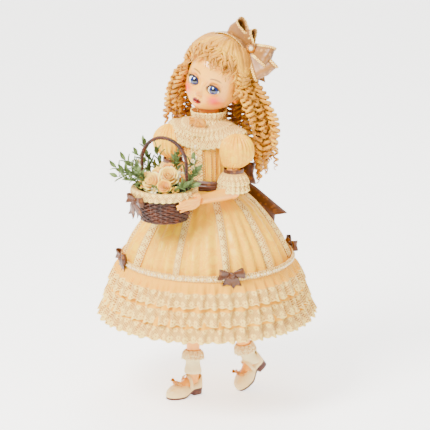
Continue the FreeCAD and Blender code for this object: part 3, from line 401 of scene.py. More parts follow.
class Cloth:
    """Collects patches of mesh, in millimetres, into one piece with its UV map in metres."""

    def __init__(self):
        self.points, self.faces, self.uv, self.tint, self.slots, self.count = [], [], [], [], [], 0

    def add(self, points, faces, uv=None, tint=None, slot=0):
        points = np.asarray(points, float).reshape(-1, 3)
        faces = np.asarray(faces, int)
        self.points.append(points)
        self.faces.append(faces + self.count)
        self.uv.append(np.zeros((len(points), 2)) if uv is None else np.asarray(uv, float).reshape(-1, 2))
        self.tint.append(np.ones((len(points), 3)) if tint is None else np.broadcast_to(np.asarray(tint, float), (len(points), 3)))
        self.slots.append(np.full(len(faces), slot))
        self.count += len(points)
        return self

    def grid(self, points, uv=None, tint=None, wrap=False, flip=False, slot=0):
        """A patch from an array of rows and columns of points; wrap is not used."""
        rows, columns = points.shape[:2]
        i, j = np.meshgrid(np.arange(rows - 1), np.arange(columns - 1), indexing="ij")
        a = (i * columns + j).ravel()
        faces = np.stack([a, a + 1, a + columns + 1, a + columns], 1)
        if flip:
            faces = faces[:, ::-1]
        return self.add(points, faces, uv, tint, slot)

    def sheet(self, points, thick, uv=None, tint=None, wrap=False, slot=0, flip=False):
        """A patch with a thickness: two layers joined round their open edges."""
        n = normals(points, wrap)
        if flip:
            n = -n
        self.grid(points + n * thick / 2, uv, tint, wrap, flip, slot)
        self.grid(points - n * thick / 2, uv, tint, wrap, not flip, slot)
        rows, columns = points.shape[:2]
        base, size = self.count - 2 * rows * columns, rows * columns
        index = np.arange(size).reshape(rows, columns) + base
        rims = [(index[0, ::-1], True), (index[-1], True)]
        if not wrap:
            rims += [(index[:, 0], True), (index[::-1, -1], True)]
        for line, _ in rims:
            a, b = line[:-1], line[1:]
            quad = np.stack([a, a + size, b + size, b], 1)
            if not flip:
                quad = quad[:, ::-1]
            self.faces.append(quad)
            self.slots.append(np.full(len(quad), slot))
        return self

    def tube(self, path, radius, sides=8, flat=1.0, up=None, uv_scale=1.0, slot=0, tint=None, caps=True, start=0.0):
        """A round or flattened tube along a path; radius may change along it."""
        path = np.asarray(path, float)
        n = len(path)
        radius = np.broadcast_to(np.asarray(radius, float), (n,))
        along = np.gradient(path, axis=0)
        along /= np.linalg.norm(along, axis=1)[:, None] + 1e-12
        if up is None:
            side = np.zeros_like(path)
            guess = np.array([0.0, 0.0, 1.0]) if abs(along[0][2]) < 0.9 else np.array([1.0, 0.0, 0.0])
            for k in range(n):
                guess = guess - along[k] * guess.dot(along[k])
                guess /= np.linalg.norm(guess) + 1e-12
                side[k] = guess
        else:
            side = np.broadcast_to(np.asarray(up, float), path.shape)
            side = side - along * (side * along).sum(1)[:, None]
            side = side / (np.linalg.norm(side, axis=1)[:, None] + 1e-12)
        other = np.cross(along, side)
        angle = np.linspace(0, TAU, sides + 1) + start
        ring = (side[:, None] * np.cos(angle)[None, :, None] + other[:, None] * np.sin(angle)[None, :, None] * flat)
        points = path[:, None] + ring * radius[:, None, None]
        length = np.concatenate([[0], np.cumsum(np.linalg.norm(np.diff(path, axis=0), axis=1))])
        around = np.linspace(0, 1, sides + 1) * TAU * radius.mean()
        uv = np.stack([np.broadcast_to(around, (n, sides + 1)), np.broadcast_to(length[:, None], (n, sides + 1))], 2) * 0.001 * uv_scale
        self.grid(points, uv, tint, wrap=True, slot=slot)
        if caps:
            for row, first in ((0, True), (n - 1, False)):
                middle_of = path[row][None]
                tip = np.concatenate([points[row], middle_of])
                k = np.arange(sides)
                face = np.stack([k + 1, k, np.full(sides, sides + 1)], 1) if first else np.stack([k, k + 1, np.full(sides, sides + 1)], 1)
                self.add(tip, face, np.zeros((sides + 2, 2)) + 0.001, None if tint is None else tint if np.ndim(tint) < 2 else None, slot)
        return self

    def make(self, name, *materials, smooth=True, doubles=0.002):
        """The finished object, in metres, at the origin."""
        mesh = bpy.data.meshes.new(name)
        points = np.concatenate(self.points)
        faces = [f for block in self.faces for f in block.tolist()]
        mesh.from_pydata((points * 0.001).tolist(), [], faces)
        for material in materials:
            mesh.materials.append(MATERIALS[material])
        uv = np.concatenate(self.uv)
        layer = mesh.uv_layers.new(name="UVMap")
        corner = np.empty(len(mesh.loops), int)
        mesh.loops.foreach_get("vertex_index", corner)
        layer.data.foreach_set("uv", uv[corner].astype(np.float32).ravel())
        tint = np.concatenate(self.tint)
        colors = mesh.color_attributes.new("tint", "FLOAT_COLOR", "POINT")
        colors.data.foreach_set("color", np.concatenate([tint, np.ones((len(tint), 1))], 1).astype(np.float32).ravel())
        if len(materials) > 1:
            mesh.polygons.foreach_set("material_index", np.concatenate(self.slots).astype(np.int32))
        mesh.polygons.foreach_set("use_smooth", np.full(len(mesh.polygons), smooth))
        if doubles:
            work = bmesh.new()
            work.from_mesh(mesh)
            bmesh.ops.remove_doubles(work, verts=work.verts, dist=doubles * 0.001)
            bmesh.ops.dissolve_degenerate(work, dist=1e-7, edges=work.edges)
            work.to_mesh(mesh)
            work.free()
        mesh.update()
        piece = bpy.data.objects.new(name, mesh)
        bpy.context.scene.collection.objects.link(piece)
        return piece


def normals(points, wrap=False):
    """Unit normals of a grid of points."""
    du = np.gradient(points, axis=1)
    if wrap:
        both = points[:, 1] - points[:, -2]
        du[:, 0] = du[:, -1] = both / 2
    dv = np.gradient(points, axis=0)
    n = np.cross(du, dv)
    return n / (np.linalg.norm(n, axis=2)[:, :, None] + 1e-12)


def moved(points, matrix):
    """Points moved by a 4 by 4 matrix in millimetres."""
    m = np.array(matrix)
    return points @ m[:3, :3].T + m[:3, 3]


def frame_at(place, x, z):
    """A matrix whose X axis runs along x and whose Z axis lies towards z."""
    x, z = Vector(x).normalized(), Vector(z)
    y = z.cross(x).normalized()
    z = x.cross(y)
    m = Matrix((x, y, z)).transposed().to_4x4()
    m.translation = Vector(place)
    return m


def settle(piece, body, *nodes, slot=None, blend=None):
    """Fixes a piece to its body, or with blend bakes its transform in place, and hides the CAD nodes that it replaces.
    """
    if blend:
        tuple(v * 0.001 for v in blend[1])
        tuple(v * 0.001 for v in blend[2])
        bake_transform(piece)
    else:
        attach(piece, body)
    if nodes:
        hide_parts(*nodes)
    return piece


def flat_area(piece, layers=2.0):
    """The area of a piece's cloth, in square metres, counted on one side."""
    work = bmesh.new()
    work.from_mesh(piece.data)
    area = sum(f.calc_area() for f in work.faces) / layers
    work.free()
    return area


def declare_cloth(piece, width):
    """Works out how long a cloth of a width in millimetres would be for a piece's area; the result is not kept."""
    width *= 0.001
    max(flat_area(piece) / width, 0.0101)


# ---------------------------------------------------------------- head

HEAD = (Matrix.Translation((7, 12, 392)) @ Matrix.Rotation(math.radians(4), 4, "Z")
        @ Matrix.Rotation(math.radians(-7), 4, "X") @ Matrix.Rotation(math.radians(20), 4, "Y"))
EYE_X, EYE_Y, EYE_Z, EYE_R = 13.4, -21.8, -11.0, 9.2


def smooth(t, low, high):
    t = np.clip((t - low) / (high - low), 0, 1)
    return t * t * (3 - 2 * t)


def bell(a, width):
    return np.exp(-(a / width) ** 2)


def eye_opening(x, z):
    """How far inside the almond between the lids a place is, in millimetres; negative outside."""
    side = np.sign(x)
    u = (np.abs(x) - EYE_X) * 1.0
    v = z - EYE_Z - 0.06 * u
    share = np.clip(1 - (u / 7.9) ** 2, 0, 1)
    top, low = 5.3 * share ** 0.55 - 0.2, -4.6 * share ** 0.62 + 0.1
    inside = np.minimum(top - v, v - low)
    return np.where(np.abs(u) < 7.9, inside, 7.9 - np.abs(u) - np.abs(v) * 0.3 - 0.3)


def head_surface(z, turn):
    """Local head points from heights and turns away from the nose, with the face modelled on."""
    wide = np.interp(z, [-42, -41, -39, -36, -30, -22, -10, 0, 15, 28, 36, 41, 42.5], [0.01, 7.5, 13.2, 19.2, 26.0, 30.4, 32.3, 32.5, 31.5, 25.5, 17.5, 8, 0.01])
    front = np.interp(z, [-42, -41, -39, -36, -30, -22, -10, 0, 12, 25, 36, 41, 42.5], [14, 22, 26, 28.8, 30.4, 31.4, 32.3, 33, 34, 29.5, 20, 9, 0.01])
    back = np.interp(z, [-42, -40, -36, -30, -22, -10, 0, 15, 28, 38, 41, 42.5], [-12, -4, 5, 14, 23, 32, 35, 34, 27, 14, 8, 0.01])
    x = wide * np.sign(np.sin(turn)) * np.abs(np.sin(turn)) ** 0.94
    c = np.cos(turn)
    y = np.where(c > 0, -front * np.abs(c) ** 0.9, back * np.abs(c))
    y = y - np.where(c <= 0, 0, 0)
    ahead = smooth(c, 0.05, 0.5)
    ax = np.abs(x)
    out = 1.8 * bell(ax - 17, 8) * bell(z + 24, 9)
    out += 2.4 * bell(x, 6.5) * bell(z + 37, 4.2)
    out += 5.4 * bell(x, 3.3) * bell(z + 20.6, 3.1) + 2.4 * bell(x, 3.0) * smooth(z, -24, -20) * (1 - smooth(z, -14, -3))
    out += 1.5 * bell(ax - 3.2, 1.5) * bell(z + 22.0, 1.7)
    out -= 0.6 * bell(x, 1.2) * bell(z + 25.6, 1.5)
    lip = np.clip(1 - (x / 6.4) ** 2, 0, 1) ** 0.6
    cupid = 0.55 * bell(ax - 2.1, 1.3) - 0.25 * bell(x, 0.9)
    out += 2.0 * lip * bell(z + 28.9 - cupid, 1.3) + 2.6 * np.clip(1 - (x / 5.2) ** 2, 0, 1) ** 0.7 * bell(z + 32.0, 1.6)
    out -= 1.9 * lip * bell(z + 30.3 + 0.25 * bell(x, 1.5), 0.55)
    out -= 0.9 * bell(x, 4) * bell(z + 34.4, 1.0)
    out -= 1.3 * bell(ax - EYE_X, 8.5) * bell(z - EYE_Z - 6, 4)
    y = y - out * ahead
    lid = 9.95 ** 2 - (ax - EYE_X) ** 2 - (z - EYE_Z) ** 2
    ball = EYE_Y - np.sqrt(np.clip(lid, 0, None))
    dist = np.sqrt((ax - EYE_X) ** 2 + (z - EYE_Z) ** 2)
    share = (1 - smooth(dist, 6.6, 9.9)) * ahead
    y = y * (1 - share) + np.minimum(ball, y + 0.6) * share
    hole = smooth(eye_opening(x, z), -0.05, 0.75) * ahead
    y = y + hole * 4.6
    return np.stack([x, y, np.broadcast_to(z, x.shape)], -1)


def head_tint(points, ahead):
    x, z = points[..., 0], points[..., 2]
    ax = np.abs(x)

    def lay(color, share):
        nonlocal tint
        share = np.clip(share, 0, 1)[..., None]
        tint = tint * (1 - share) + np.array(color) * share

    tint = np.broadcast_to(np.array(rgb(251, 214, 172)), points.shape).copy()
    lay(rgb(228, 84, 56), 0.95 * bell(ax - 19, 7.5) * bell(z + 23, 7.2) * ahead)
    lay(rgb(243, 160, 118), 0.35 * bell(x, 7) * bell(z + 38, 5) * ahead)
    lay(rgb(240, 150, 112), 0.35 * bell(x, 3) * bell(z + 20.6, 3) * ahead)
    lay(rgb(226, 150, 110), 0.35 * bell(ax - EYE_X, 9) * bell(z - EYE_Z - 6.6, 3.2) * ahead)
    cupid = 0.55 * bell(ax - 2.1, 1.3) - 0.35 * bell(x, 0.9)
    mouth = smooth(6.2 - ax, 0, 0.9) * smooth(z, -34.2 + 0.07 * ax ** 2, -33.4 + 0.07 * ax ** 2) * (1 - smooth(z, -28.1 + cupid - 0.045 * ax ** 2, -27.5 + cupid - 0.045 * ax ** 2))
    lay(rgb(160, 30, 24), mouth * 0.98 * ahead)
    lay(rgb(120, 34, 26), 0.9 * smooth(5.6 - ax, 0, 1.5) * bell(z + 30.3, 0.42) * ahead)
    # painted highlight: a lighter pink streak along the fullest part of the lower lip
    lay(rgb(236, 140, 112), 0.5 * bell(x, 2.4) * bell(z + 32.1, 0.6) * ahead)
    brow = 2.4 - 0.035 * (ax - 14) ** 2
    stroke = 0.5 + 0.5 * np.sin((ax * 1.4 + z * 1.1) * 5.0)
    lay(rgb(128, 74, 34), (0.74 + 0.2 * stroke) * bell(z - brow, 0.95) * smooth(ax, 5.6, 8) * (1 - smooth(ax, 17, 22)) * ahead)
    opening = eye_opening(x, z)
    upper = z > EYE_Z + 0.4
    lay(rgb(46, 24, 14), np.where(upper, 0.98, 0.6) * smooth(opening, np.where(upper, -1.9, -0.7), -0.35) * ahead)
    lay(rgb(190, 108, 78), 0.45 * bell(opening + 3.0, 0.45) * upper * (ax < 22) * ahead)
    lay(rgb(206, 110, 88), 0.3 * bell(ax - EYE_X + 7.3, 0.8) * bell(z - EYE_Z, 1.1) * ahead)
    lay(rgb(150, 74, 50), 0.8 * bell(ax - 1.9, 0.75) * bell(z + 23.3, 0.6) * ahead)
    return tint


def build_head():
    """Porcelain head and neck with a painted face."""
    cloth = Cloth()
    t = np.linspace(-1, 1, 301)
    turn = math.pi * (0.42 * t + 0.58 * t ** 3)
    z = np.concatenate([np.linspace(-42, -38, 16)[:-1], np.linspace(-38, 6, 132), np.linspace(6, 42.5, 44)[1:]])
    zz, tt = np.meshgrid(z, turn, indexing="ij")
    points = head_surface(zz, tt)
    ahead = smooth(np.cos(tt), 0.05, 0.5)
    tint = head_tint(points, ahead)
    cloth.grid(moved(points.reshape(-1, 3), HEAD).reshape(points.shape), tint=tint.reshape(-1, 3), wrap=True)
    for side in (1, -1):
        angle = np.linspace(0, TAU, 41)
        rows = []
        for size, out in ((0.2, 1.0), (0.55, 0.6), (0.8, 2.2), (1.0, 3.6), (1.08, 2.6), (1.0, 0.2), (0.7, -3.0)):
            rows.append(np.stack([side * (31.2 + out) + 0 * angle, 2.5 + 4.4 * size * np.cos(angle) + out * 0.5, -13 + 7.4 * size * np.sin(angle) * (1 - 0.18 * np.sin(angle))], 1))
        ear = np.array(rows)
        cloth.grid(moved(ear.reshape(-1, 3), HEAD).reshape(ear.shape), tint=np.broadcast_to(rgb(249, 192, 146), (ear.size // 3, 3)), wrap=True, flip=side > 0)
    profile = [(338.5, 11.6), (345, 11.6), (352, 11.8), (358, 12.6), (364, 14.5)]
    angle = np.linspace(0, TAU, 65)
    neck = np.array([[(r * math.sin(a), 4 + (h - 338) * 0.18 - r * math.cos(a), h) for a in angle] for h, r in profile])
    cloth.grid(neck, tint=np.broadcast_to(rgb(249, 208, 166), (neck.size // 3, 3)), wrap=True)
    head = settle(cloth.make("porcelain_head", "painted_porcelain"), "head", "head_shell", slot="porcelain")

    for side, word in ((1, "left"), (-1, "right")):
        ball = Cloth()
        polar = np.concatenate([np.linspace(0, 42, 60), np.linspace(42, 180, 40)[1:]]) * math.pi / 180
        round_about = np.linspace(0, TAU, 97)
        pp, rr = np.meshgrid(polar, round_about, indexing="ij")
        look = Vector((0.20 - 0.02 * side, -1, 0.08)).normalized()
        basis = frame_at((side * EYE_X, EYE_Y, EYE_Z), look.cross(Vector((0, 0, 1))), look)
        cornea = 0.5 * bell(pp, 0.5)
        body = np.stack([np.sin(pp) * np.cos(rr), np.sin(pp) * np.sin(rr), np.cos(pp)], -1) * (EYE_R - 0.25 + cornea)[..., None]
        degrees = np.degrees(pp)
        streak = 0.5 + 0.5 * np.sin(rr * 31 + 2 * np.sin(rr * 7))
        white, pupil, ring = np.array(rgb(250, 246, 240)), np.array(rgb(16, 14, 20)), np.array(rgb(34, 52, 84))
        iris = (np.array(rgb(24, 62, 108)) * (1 - streak[..., None] * 0.5) + np.array(rgb(62, 112, 160)) * streak[..., None] * 0.5)
        iris = iris * (0.62 + 0.5 * smooth(degrees, 12, 30))[..., None]
        tint = white * smooth(degrees, 35.5, 37.0)[..., None] + (1 - smooth(degrees, 35.5, 37.0)[..., None]) * iris
        share = (smooth(degrees, 30, 33.5) * (1 - smooth(degrees, 36, 37.5)))[..., None] * 0.9
        tint = tint * (1 - share) + ring * share
        dark = (1 - smooth(degrees, 15.5, 17))[..., None]
        tint = tint * (1 - dark) + pupil * dark
        ball.grid(moved(moved(body.reshape(-1, 3), basis), HEAD).reshape(body.shape), tint=tint.reshape(-1, 3), wrap=True, flip=False)
        settle(ball.make("blue_eye_" + word, "eye_glass"), "head", "eye_" + word, slot="eye_glass")

    hairs = Cloth()
    for side in (1, -1):
        for k in range(30):
            u = -6.9 + 14.4 * k / 29
            share = max(1 - (u / 7.9) ** 2, 0)
            base = np.array([side * (EYE_X + u), 0, EYE_Z + 5.3 * share ** 0.55 - 0.2 + 0.06 * u])
            base[1] = EYE_Y - math.sqrt(max(9.9 ** 2 - u * u - (base[2] - EYE_Z) ** 2, 1))
            fan = np.array([side * (0.16 + 0.085 * u), -0.75, 0.5])
            length = 3.5 + 0.9 * math.sin(k * 2.2) + 0.16 * u
            steps = np.linspace(0, 1, 6)[:, None]
            path = base + fan * length * steps + np.array([0, 0, 1.0]) * length * 0.45 * steps ** 2
            hairs.tube(moved(path, HEAD), np.linspace(0.3, 0.05, 6), sides=5)
        for k in range(12):
            u = -5.5 + 11.5 * k / 11
            share = max(1 - (u / 7.9) ** 2, 0)
            base = np.array([side * (EYE_X + u), 0, EYE_Z - 4.6 * share ** 0.62 + 0.06 * u - 0.1])
            base[1] = EYE_Y - math.sqrt(max(9.9 ** 2 - u * u - (base[2] - EYE_Z) ** 2, 1))
            steps = np.linspace(0, 1, 4)[:, None]
            path = base + np.array([side * 0.08 * u, -0.5, -0.75]) * 1.5 * steps
            hairs.tube(moved(path, HEAD), np.linspace(0.13, 0.04, 4), sides=4)
    settle(hairs.make("eyelashes", "lashes"), "head", slot="hair")


# ---------------------------------------------------------------- hair


def hair_point(turn, down, grow=0.0):
    """A place on the wig: turn from the nose towards the left ear, down from the crown, both in radians."""
    x = (39.0 + grow) * np.sin(down) * np.sin(turn)
    y = 4 - (41.5 + grow) * np.sin(down) * np.cos(turn)
    z = 3 + (47.5 + grow) * np.cos(down)
    return np.stack(np.broadcast_arrays(x, y, z), -1)


def build_wig():
    """Combed hair over the crown, with locks swept over the forehead."""
    cloth = Cloth()
    turn = np.linspace(-math.pi, math.pi, 441)
    front = smooth(np.cos(turn), 0.30, 0.72)
    hem = 2.02 - 0.80 * front
    t = np.linspace(0.0, 1, 44)[:, None]
    down = 0.02 + (hem - 0.02)[None] * t
    groove = sum(a * np.abs(np.sin(turn * k + p)) for a, k, p in ((0.9, 26, 0.3), (0.7, 41, 1.1), (0.5, 67, 2.0)))
    comb = 0.5 * np.sin(turn * 37 + 3.0 * t * np.sin(turn * 3)) * smooth(t, 0.1, 0.5)
    grow = (groove[None] - 1.6) * smooth(t, 0.02, 0.35) + comb - 2.2 * smooth(t, 0.9, 1.0) + 1.0
    wave = turn[None] + 0.035 * np.sin(t * 15 + turn[None] * 5) * smooth(t, 0.1, 0.5)
    points = hair_point(wave, down, grow)
    uv = np.stack([np.broadcast_to(turn[None] * 0.03, down.shape), down * 0.045], -1)
    cloth.sheet(moved(points.reshape(-1, 3), HEAD).reshape(points.shape), 1.0, uv.reshape(-1, 2), wrap=True, flip=False)
    settle(cloth.make("combed_hair", "ringlets"), "head", "wig_cap", slot="hair")

    locks = Cloth()
    rotation = np.array(HEAD.to_3x3())
    count = 64
    for k in range(count):
        side = -1 + 2 * (k + 0.5) / count
        start = side * 0.70
        finish = side * 0.80 + 0.10 * math.sin(k * 2.7) + 0.07 * math.sin(k * 5.1)
        steps = np.linspace(0, 1, 34)
        reach = 0.80 + 0.13 * math.sin(k * 1.9) + 0.09 * math.sin(k * 5.3) + 0.26 * abs(side) ** 2
        down = 0.38 + reach * steps
        curl = smooth(steps, 0.35, 0.75)
        spin = steps * (15 + 3 * math.sin(k)) * (1 if k % 2 else -1) + k
        angle = start + (finish - start) * steps + 0.045 * np.sin(steps * 6 + k) + 0.075 * curl * np.cos(spin)
        lift = 0.9 + 2.4 * np.sin(steps * math.pi * 0.8) + 1.1 * math.sin(k * 3.3) + 2.3 * curl * np.sin(spin)
        path = hair_point(angle, down, lift)
        width = (1.55 + 0.5 * math.sin(k * 4.1)) * np.clip(np.sin(np.clip(steps * 0.9 + 0.07, 0, 1) * math.pi), 0.05, 1) ** 0.5 * (1 - 0.45 * steps)
        center = hair_point(angle, down, 0) - np.array([0, 4, 3])
        locks.tube(moved(path, HEAD), width, sides=9, flat=1.45, up=center @ rotation.T)
    for side in (1, -1):
        for k in range(7):
            steps = np.linspace(0, 1, 26)
            start = 0.60 + 0.16 * k
            angle = side * (start + (1.32 - 0.04 * k - start) * steps ** 1.2)
            down = 0.45 + 1.18 * steps + 0.03 * k
            lift = 1.6 + 1.8 * np.sin(steps * math.pi) + 0.5 * math.sin(k * 2.3)
            path = hair_point(angle, down, lift)
            width = 3.1 * (0.5 + 0.5 * np.sin(steps * math.pi)) * (1 - 0.25 * steps)
            center = path - np.array([0, 4, 3])
            locks.tube(moved(path, HEAD), width, sides=12, flat=1.3, up=np.array(HEAD.to_3x3()).dot(center.T).T)
        for k in range(12):
            steps = np.linspace(0, 1, 90)
            turn_now = side * (1.02 + 0.085 * k + 0.05 * math.sin(k * 2.1))
            down = 1.02 + 0.03 * math.sin(k * 1.7) + (0.50 + 0.16 * math.sin(k * 2.9)) * steps
            spin = steps * TAU * 5.5 * (1 if k % 2 else -1) + k
            swirl = 2.7 * smooth(steps, 0, 0.2)
            path = hair_point(turn_now + 0.06 * np.cos(spin) * smooth(steps, 0, 0.2), down, 1.6 + swirl * (0.6 + np.sin(spin)) + 0.9 * math.sin(k * 3.1))
            center = hair_point(np.full(90, turn_now), down, 0) - np.array([0, 4, 3])
            locks.tube(moved(path, HEAD), 1.25 * smooth(steps, -0.1, 0.1) * (1 - 0.6 * smooth(steps, 0.85, 1)), sides=7, flat=1.4, up=center @ rotation.T)
    settle(locks.make("forehead_locks", "ringlets"), "head", "fringe", slot="hair")


# each ringlet's root and tip, in millimetres
CURLS = {
    "left": [((44, -6, 383), (57, 3, 340)), ((47, 6, 387), (68, 14, 322)), ((46, 18, 389), (74, 26, 300)), ((42, 30, 389), (67, 37, 286)),
             ((36, 40, 391), (56, 47, 280)), ((50, 12, 384), (61, 23, 296)), ((48, 24, 386), (60, 30, 272)), ((40, 34, 386), (49, 37, 266)),
             ((49, 2, 380), (62, 12, 330)), ((44, 24, 392), (78, 20, 316))],
    "right": [((-25, -10, 402), (-45, -5, 352)), ((-30, -2, 404), (-54, 2, 341)), ((-32, 10, 406), (-59, 13, 326)), ((-32, 22, 406), (-57, 25, 304)),
              ((-28, 32, 404), (-48, 35, 290)), ((-34, 14, 398), (-46, 24, 306)), ((-34, 2, 398), (-47, 12, 337))],
    "back": [((-22, 42, 402), (-36, 43, 284)), ((-12, 48, 402), (-24, 49, 276)), ((0, 51, 400), (-10, 51, 270)), ((12, 52, 398), (4, 52, 276)),
             ((24, 50, 394), (18, 52, 268)), ((33, 46, 391), (32, 51, 276)), ((28, 44, 392), (44, 52, 270)), ((-6, 40, 398), (-2, 42, 272)), ((18, 42, 394), (22, 42, 272)), ((-20, 34, 400), (-22, 38, 282))],
}


def build_ringlets():
    """Long spiral ringlets at both sides and behind, baked in place."""
    for word, roots in CURLS.items():
        cloth = Cloth()
        for index in range(len(roots) * 3):
            root, tip = (np.array(v, float) for v in roots[index // 3])
            lean = TAU * (index % 3) / 3 + index * 0.7
            root = root + np.array([2.2 * math.cos(lean), 2.2 * math.sin(lean), 1.5 * math.sin(index * 2.1)])
            tip = tip + np.array([4.6 * math.cos(lean), 3.6 * math.sin(lean), 7.0 * math.sin(index * 1.9)])
            length = np.linalg.norm(tip - root)
            turns = length / (7.6 + 1.0 * math.sin(index * 2.3))
            n = int(turns * 13)
            along = np.linspace(0, 1, n)
            sweep = np.stack([1 - (1 - along) ** 2.2, 1 - (1 - along) ** 2.2, along], 1)
            line = root + (tip - root) * sweep
            radius = (3.1 + 0.7 * math.sin(index * 3.1)) * smooth(along, -0.15, 0.15) * (1 - 0.45 * smooth(along, 0.75, 1.0)) * (1 + 0.18 * np.sin(along * 19 + index))
            spin = (1 if index % 2 else -1) * (along + 0.014 * np.sin(along * 17 + index)) * turns * TAU + index * 1.7
            core = np.stack([np.cos(spin), np.sin(spin), np.zeros(n)], 1)
            path = line + core * radius[:, None] + np.stack([np.sin(along * 6 + index), np.cos(along * 5 + index), 0 * along], 1) * 1.1
            width = (1.25 + 0.3 * math.sin(index * 4.7)) * smooth(along, -0.05, 0.08) * (1 - 0.62 * smooth(along, 0.86, 1.0))
            cloth.tube(path, width, sides=7, flat=1.5, up=core)
        settle(cloth.make("ringlets_" + word, "ringlets"), "head", "curls_" + word, slot="hair",
               blend=("torso", (0, 4, 372), (0, 4, 310)))


# ---------------------------------------------------------------- ribbons and bows


def ribbon(cloth, path, width, across, thick=0.5, fold=0.0, slot=0, notch=0.0, flip=False):
    """A ribbon along a path, its width lying along across, with an optional lengthwise fold and notched end."""
    path = np.asarray(path, float)
    n = len(path)
    width = np.broadcast_to(np.asarray(width, float), (n,))
    across = np.broadcast_to(np.asarray(across, float), (n, 3))
    along = np.gradient(path, axis=0)
    along /= np.linalg.norm(along, axis=1)[:, None] + 1e-9
    across = across - along * (across * along).sum(1)[:, None]
    across = across / (np.linalg.norm(across, axis=1)[:, None] + 1e-9)
    normal = np.cross(along, across)
    s = np.linspace(-1, 1, 9)
    points = path[:, None] + across[:, None] * s[None, :, None] * width[:, None, None] / 2
    points = points + normal[:, None] * (fold * width[:, None] * (0.5 - np.abs(s)[None]) * 0.5 + 0.05 * width[:, None] * np.cos(s * 5)[None] * fold)[..., None]
    if notch:
        share = smooth(np.linspace(0, 1, n), 0.75, 1.0)
        points = points - along[:, None] * (notch * share[:, None] * (1 - np.abs(s)[None]))[..., None]
    length = np.concatenate([[0], np.cumsum(np.linalg.norm(np.diff(path, axis=0), axis=1))])
    uv = np.stack([np.broadcast_to(s[None] * width[:, None] / 2, (n, 9)), np.broadcast_to(length[:, None], (n, 9))], -1) * 0.001
    cloth.sheet(points, thick, uv.reshape(-1, 2), slot=slot, flip=flip)


def loop_path(reach, rise, droop, puff, steps=34):
    """One loop of a bow in its own plane: out along X, with its two layers apart in Y."""
    t = np.linspace(0, 1, steps)
    swing = np.sin(np.pi * t)
    x = reach * swing ** 0.8
    y = puff * np.sin(TAU * t) * (0.35 + 0.65 * swing)
    z = rise * swing - droop * swing ** 2
    return np.stack([x, -y, z], 1)


def tie_bow(cloth, matrix, reach, width, tails=(), knot=None, loops=((1, 0), (-1, 0)), puff=None, rise=0.1, edge=None):
    """A pinched ribbon bow lying in the XZ plane of a matrix, facing its -Y side."""
    knot = knot or width * 0.30
    puff = puff or width * 0.28
    for side, lift in loops:
        path = loop_path(reach, reach * (rise + lift), reach * 0.12, puff)
        path[:, 0] *= side
        t = np.linspace(0, 1, len(path))
        wide = width * (0.34 + 0.66 * np.sin(np.pi * t) ** 0.7)
        up = np.stack([-side * 0.25 * np.sin(np.pi * t), 0 * t, np.ones(len(t))], 1)
        m = np.array(matrix)[:3, :3]
        ribbon(cloth, moved(path, matrix), wide, up @ m.T, 0.6, fold=0.18)
        if edge is not None:
            for way in (1, -1):
                offset = up / np.linalg.norm(up, axis=1)[:, None] * (wide / 2 + edge * 0.35)[:, None] * way
                wavy = path + offset + np.stack([0 * t, 0.9 * np.sin(t * 60), 0 * t], 1)
                ribbon(cloth, moved(wavy, matrix), edge, up @ m.T, 0.5, slot=1)
    for direction, length, drop in tails:
        t = np.linspace(0, 1, 26)
        direction = np.array(direction, float)
        direction /= np.linalg.norm(direction)
        path = direction * (t * length)[:, None] + np.stack([0 * t, -1.4 * np.sin(t * 6.0) * (t > 0) - 0.8, -drop * t * t], 1)
        m = np.array(matrix)[:3, :3]
        side = np.cross(direction, (0, 1, 0))
        ribbon(cloth, moved(path, matrix), width * (0.42 + 0.5 * smooth(t, 0, 0.5)), (m @ side)[None].repeat(len(t), 0), 0.55, fold=0.14, notch=width * 0.35)
    t = np.linspace(0, TAU, 41)
    ring = np.stack([knot * 0.62 * np.cos(t), knot * 0.85 * np.sin(t) - 0.3, 0 * t], 1)
    m = np.array(matrix)[:3, :3]
    ribbon(cloth, moved(ring, matrix), width * 0.46, (m @ np.array([0, 0, 1.0]))[None].repeat(len(t), 0), 0.8, fold=0.3)
    for lean in (-0.22, 0.0, 0.22):
        crease = np.stack([knot * (0.62 * np.cos(t) + lean * 0.4), knot * 0.93 * np.sin(t) - 0.3, 0 * t + lean * width * 0.62], 1)
        ribbon(cloth, moved(crease, matrix), width * 0.10, (m @ np.array([0, 0, 1.0]))[None].repeat(len(t), 0), 0.7)


# ---------------------------------------------------------------- dress

SKIRT = [(258.6, 30.4), (254, 38.5), (248, 47.0), (238, 58.5), (224, 69.0), (210, 78.5), (194, 88.0), (182, 93.5), (170, 98.6)]
BODICE = [(259.2, 27.2, 21.5, 0), (275, 27.6, 21.5, 0), (292, 28.0, 21.8, 0), (310, 28.0, 21.7, 0), (326, 28.0, 20.9, 0), (332.5, 24.6, 19.8, 0.5), (338.2, 18.9, 18.9, 4)]


def skirt_radius(z, turn, over=0.0):
    heights, radii = zip(*SKIRT[::-1])
    radius = np.interp(z, heights, radii)
    share = smooth(258.0 - z, 0, 60)
    fold = (0.9 + 1.3 * share) * np.cos(turn * 34 + 0.9 * np.sin(turn * 5)) + 0.8 * share * np.cos(turn * 11 + 1)
    return radius + fold * (0.35 + 0.65 * share) - 1.2 * (1 - share) + over


def ring_points(radius, turn, z, cy=0.0):
    return np.stack(np.broadcast_arrays(radius * np.sin(turn), cy - radius * np.cos(turn), z), -1)


